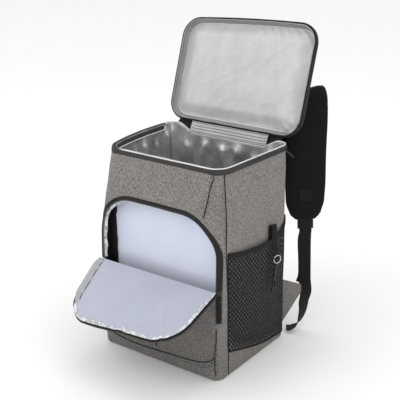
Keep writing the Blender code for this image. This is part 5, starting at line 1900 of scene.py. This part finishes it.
def make_wing(side, tip, along):
    """A triangle of cloth from the bag's back corner to the webbing's end."""
    sign = 1 if side == "right" else -1
    low, high = WING_FOOT * P.height, WING_TOP * P.height
    seam_y = P.back - CORNER * 0.15
    end = tip + along * (GAP * 2 + WING) + Vector((0, 0, P.webbing_width * 0.35 * (1 + along.z)))
    rows, uv = [], []
    for share in steps_from(0, 1, 24):
        seam = on_side(sign, seam_y, between(low, high, share), GAP)
        reach = end + Vector((0, 0, between(-P.webbing_width * 0.7, 0, share)))
        soft = rumple(share, 0, 0, 5, 2) * 0.0015
        line = [seam + (reach - seam) * s + Vector((0, soft * math.sin(math.pi * s), 0))
                for s in steps_from(0, 1, 14)]
        rows.append(line)
        uv.append([(s * 0.05, share * 0.1) for s in steps_from(0, 1, 14)])
    wing = cloth_mesh(f"wing_cloth_{side}", rows, uv, finishes()["melange"], thick=WING * 0.9)
    outward(wing)
    bevel(wing, CLOTH_EDGE, 60)
    smooth(wing, 60)
    settle_piece(wing, "melange", f"wing_{side}")


# Sliders and pulls

def make_slider(name, node, scale, turn, shift=Vector((0, 0, 0))):
    """A zipper slider: two rounded plates with a bridge and a ring for its pull."""
    low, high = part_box(node)
    place = (low + high) / 2 + shift
    body = cube(name)
    subdivide(body, 3)
    for vertex in body.data.vertices:
        x, y, z = vertex.co
        waist = 1 - 0.45 * max(0.0, -z - 0.1)
        hollow = 0.82 if abs(y) < 0.2 else 1.0
        vertex.co = Vector((x * scale[0] * waist * hollow, y * scale[1], z * scale[2]))
    bevel(body, min(scale) * 0.12, 30)
    bpy.ops.object.select_all(action="DESELECT")
    bpy.ops.mesh.primitive_torus_add(major_radius=scale[2] * 0.26, minor_radius=scale[2] * 0.07,
                                     major_segments=20, minor_segments=8,
                                     location=(0, -scale[1] * 0.55, 0),
                                     rotation=(0, math.pi / 2, 0))
    eye = bpy.context.object
    bpy.ops.object.transform_apply(location=True, rotation=True, scale=True)
    activate(body)
    eye.select_set(True)
    bpy.ops.object.join()
    body.data.transform(Matrix.Translation(place) @ Matrix.Rotation(turn, 4, "Z"))
    smooth(body, 40)
    body.data.materials.clear()
    body.data.materials.append(finishes()["black_metal"])
    settle_piece(body, "black_metal", node)


def make_sliders():
    """The three sliders, the front zipper's pull and the right one's cord."""
    make_slider("front_slider", "pocket_slider", (SLIDER * 0.85, SLIDER * 0.5, SLIDER * 1.2),
                math.radians(45), Vector((0.0016, -0.0016, 0.001)))
    make_slider("rim_slider_right", "lid_slider_right", (SLIDER * 0.8, SLIDER * 0.45, SLIDER * 0.8),
                math.radians(120))
    make_slider("rim_slider_left", "lid_slider_left", (SLIDER * 0.8, SLIDER * 0.45, SLIDER * 0.8),
                math.radians(-120))
    low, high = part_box("pocket_pull")
    middle = (low + high) / 2 + Vector((0.0014, -0.0014, 0))
    wide, up = heading(45), heading(-45)
    path = [Vector((middle.x, middle.y, z)) for z in steps_from(high.z, low.z, 24)]
    rows = []
    for i, p in enumerate(path):
        share = i / 24
        width = PULL_WIDTH * (0.75 + 0.25 * ease(share / 0.15)) * math.sqrt(
            max(1 - max(0, (share - 0.92) / 0.08) ** 2, 0.05))
        thick = PULL * (1.25 if 0.2 < share < 0.9 else 0.8)
        rows.append([p + wide * a * width / 2 + up * b * thick / 2 for a, b in FLAT])
    pull = cloth_mesh("front_pull", rows, webbing_uv(rows), finishes()["webbing"], closed=True,
                      caps=(0, -1), angle=50)
    settle_piece(outward(pull), "black", "pocket_pull")
    low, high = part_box("lid_pull_right")
    top = Vector((low.x + 0.002, low.y + 0.002, high.z))
    foot = Vector((high.x - 0.001, high.y - 0.001, low.z + 0.001))
    side = Vector((1, -1, 0)).normalized() * 0.0038
    bend = foot + (foot - top).normalized() * 0.0006
    cord = [top - side, top.lerp(foot, 0.4) - side * 1.3, top.lerp(foot, 0.85) - side, bend,
            top.lerp(foot, 0.85) + side, top.lerp(foot, 0.4) + side * 1.3, top + side]
    pull = tube("rim_pull", smooth_path(cord, 6), PULL_CORD, finishes()["tape"], sides=8)
    settle_piece(pull, "black", "lid_pull_right")


# Stage

def make_stage():
    """Pale floor, white surroundings, three soft lights and the camera."""
    bpy.ops.object.select_all(action="DESELECT")
    bpy.ops.mesh.primitive_plane_add(size=30)
    floor = bpy.context.object
    floor.name = "floor"
    plain = Finish("pale_floor", roughness=0.9)
    speckle = plain.noise(plain.stretch(source="Object"), 3, 2)
    pale = plain.mix(speckle, (0.90, 0.90, 0.90), (0.92, 0.92, 0.92))
    floor.data.materials.append(plain.finish(pale))
    world = bpy.data.worlds.new("studio")
    world.use_nodes = True
    world.node_tree.nodes["Background"].inputs["Color"].default_value = (1, 1, 1, 1)
    world.node_tree.nodes["Background"].inputs["Strength"].default_value = 1.0
    bpy.context.scene.world = world
    bpy.context.scene.view_settings.view_transform = "Standard"
    for name, place, size, energy in LIGHTS:
        light = bpy.data.lights.new(name, "AREA")
        light.energy = energy
        light.size = size
        lamp = bpy.data.objects.new(name, light)
        lamp.location = place
        aim = Vector(LIGHTS_AIM) - Vector(place)
        lamp.rotation_euler = aim.to_track_quat("-Z", "Y").to_euler()
        bpy.context.scene.collection.objects.link(lamp)
    make_camera()


def make_camera():
    """The camera of the photograph: 36.8 degrees to the right and 20.5 above level."""
    turn, rise, roll = (math.radians(d) for d in CAMERA_ANGLES)
    back = Vector((math.sin(turn) * math.cos(rise), -math.cos(turn) * math.cos(rise),
                   math.sin(rise)))
    right = (-back).cross(Vector((0, 0, 1))).normalized()
    up = right.cross(-back)
    side = right * math.cos(roll) + up * math.sin(roll)
    top = up * math.cos(roll) - right * math.sin(roll)
    lens = bpy.data.cameras.new("photo_view")
    lens.sensor_width = SENSOR_WIDTH
    lens.lens = FOCAL_LENGTH
    camera = bpy.data.objects.new("photo_view", lens)
    camera.matrix_world = Matrix.Translation(CAMERA_PLACE) @ Matrix(
        (side, top, back)).transposed().to_4x4()
    bpy.context.scene.collection.objects.link(camera)
    bpy.context.scene.camera = camera


# Operators, panel and registration

class BAG_OT_stage(bpy.types.Operator):
    """Adds the floor, the lights and the camera"""
    bl_idname = "bag.stage"
    bl_label = "Stage"
    bl_options = {"REGISTER", "UNDO"}

    def execute(self, context):
        take_sizes()
        make_stage()
        return {"FINISHED"}


class BAG_OT_body(bpy.types.Operator):
    """Models the bag's outer cloth and its seams"""
    bl_idname = "bag.body"
    bl_label = "Body"
    bl_options = {"REGISTER", "UNDO"}

    def execute(self, context):
        take_sizes()
        make_body()
        make_front_panel()
        make_seams()
        return {"FINISHED"}


class BAG_OT_lining(bpy.types.Operator):
    """Models the silver lining and the pocket's back wall"""
    bl_idname = "bag.lining"
    bl_label = "Lining"
    bl_options = {"REGISTER", "UNDO"}

    def execute(self, context):
        take_sizes()
        make_lining()
        make_divider()
        make_pocket_sides()
        return {"FINISHED"}


class BAG_OT_rim(bpy.types.Operator):
    """Models the tape and piping round the rim"""
    bl_idname = "bag.rim"
    bl_label = "Rim"
    bl_options = {"REGISTER", "UNDO"}

    def execute(self, context):
        take_sizes()
        make_rim()
        return {"FINISHED"}


class BAG_OT_lid(bpy.types.Operator):
    """Models the open lid and its hinge"""
    bl_idname = "bag.lid"
    bl_label = "Lid"
    bl_options = {"REGISTER", "UNDO"}

    def execute(self, context):
        take_sizes()
        make_lid()
        make_hinge()
        return {"FINISHED"}


class BAG_OT_flap(bpy.types.Operator):
    """Models the front pocket's folded flap"""
    bl_idname = "bag.flap"
    bl_label = "Flap"
    bl_options = {"REGISTER", "UNDO"}

    def execute(self, context):
        take_sizes()
        make_flap()
        return {"FINISHED"}


class BAG_OT_zipper(bpy.types.Operator):
    """Models the zipper round the pocket's opening"""
    bl_idname = "bag.zipper"
    bl_label = "Zipper"
    bl_options = {"REGISTER", "UNDO"}

    def execute(self, context):
        take_sizes()
        make_opening_zipper()
        make_sliders()
        return {"FINISHED"}


class BAG_OT_nets(bpy.types.Operator):
    """Models the net pockets on both sides"""
    bl_idname = "bag.nets"
    bl_label = "Mesh pockets"
    bl_options = {"REGISTER", "UNDO"}

    def execute(self, context):
        take_sizes()
        make_mesh_pocket("right", 1)
        make_mesh_pocket("left", -1)
        return {"FINISHED"}


class BAG_OT_opener(bpy.types.Operator):
    """Models the webbing loop, the ring and the opener"""
    bl_idname = "bag.opener"
    bl_label = "Bottle opener"
    bl_options = {"REGISTER", "UNDO"}

    def execute(self, context):
        take_sizes()
        make_opener()
        return {"FINISHED"}


class BAG_OT_straps(bpy.types.Operator):
    """Models the pads, webbing, locks and wings"""
    bl_idname = "bag.straps"
    bl_label = "Shoulder straps"
    bl_options = {"REGISTER", "UNDO"}

    def execute(self, context):
        take_sizes()
        make_strap("right")
        make_strap("left")
        return {"FINISHED"}


OPERATORS = (BAG_OT_stage, BAG_OT_body, BAG_OT_lining, BAG_OT_rim, BAG_OT_lid,
             BAG_OT_flap, BAG_OT_zipper, BAG_OT_nets, BAG_OT_opener, BAG_OT_straps)


class BAG_PT_panel(bpy.types.Panel):
    """Sizes, colours and steps of the bag."""
    bl_idname = "BAG_PT_panel"
    bl_label = "Cooler backpack"
    bl_space_type = "VIEW_3D"
    bl_region_type = "UI"
    bl_category = "Bag"

    def draw(self, context):
        for group in (context.scene.bag_sizes, context.scene.bag_colours):
            for key in group.__annotations__:
                self.layout.prop(group, key)
        for made in OPERATORS:
            self.layout.operator(made.bl_idname)


CLASSES = (BagSizes, BagColours, *OPERATORS, BAG_PT_panel)


def register():
    for made in CLASSES:
        bpy.utils.register_class(made)
    bpy.types.Scene.bag_sizes = PointerProperty(type=BagSizes)
    bpy.types.Scene.bag_colours = PointerProperty(type=BagColours)


def unregister():
    del bpy.types.Scene.bag_colours
    del bpy.types.Scene.bag_sizes
    for made in reversed(CLASSES):
        bpy.utils.unregister_class(made)


def main():
    register()
    for made in OPERATORS:
        if getattr(bpy.ops.bag, made.bl_idname.split(".")[1])() != {"FINISHED"}:
            raise RuntimeError(f"{made.bl_label} was not made")


if __name__ == "__main__":
    main()
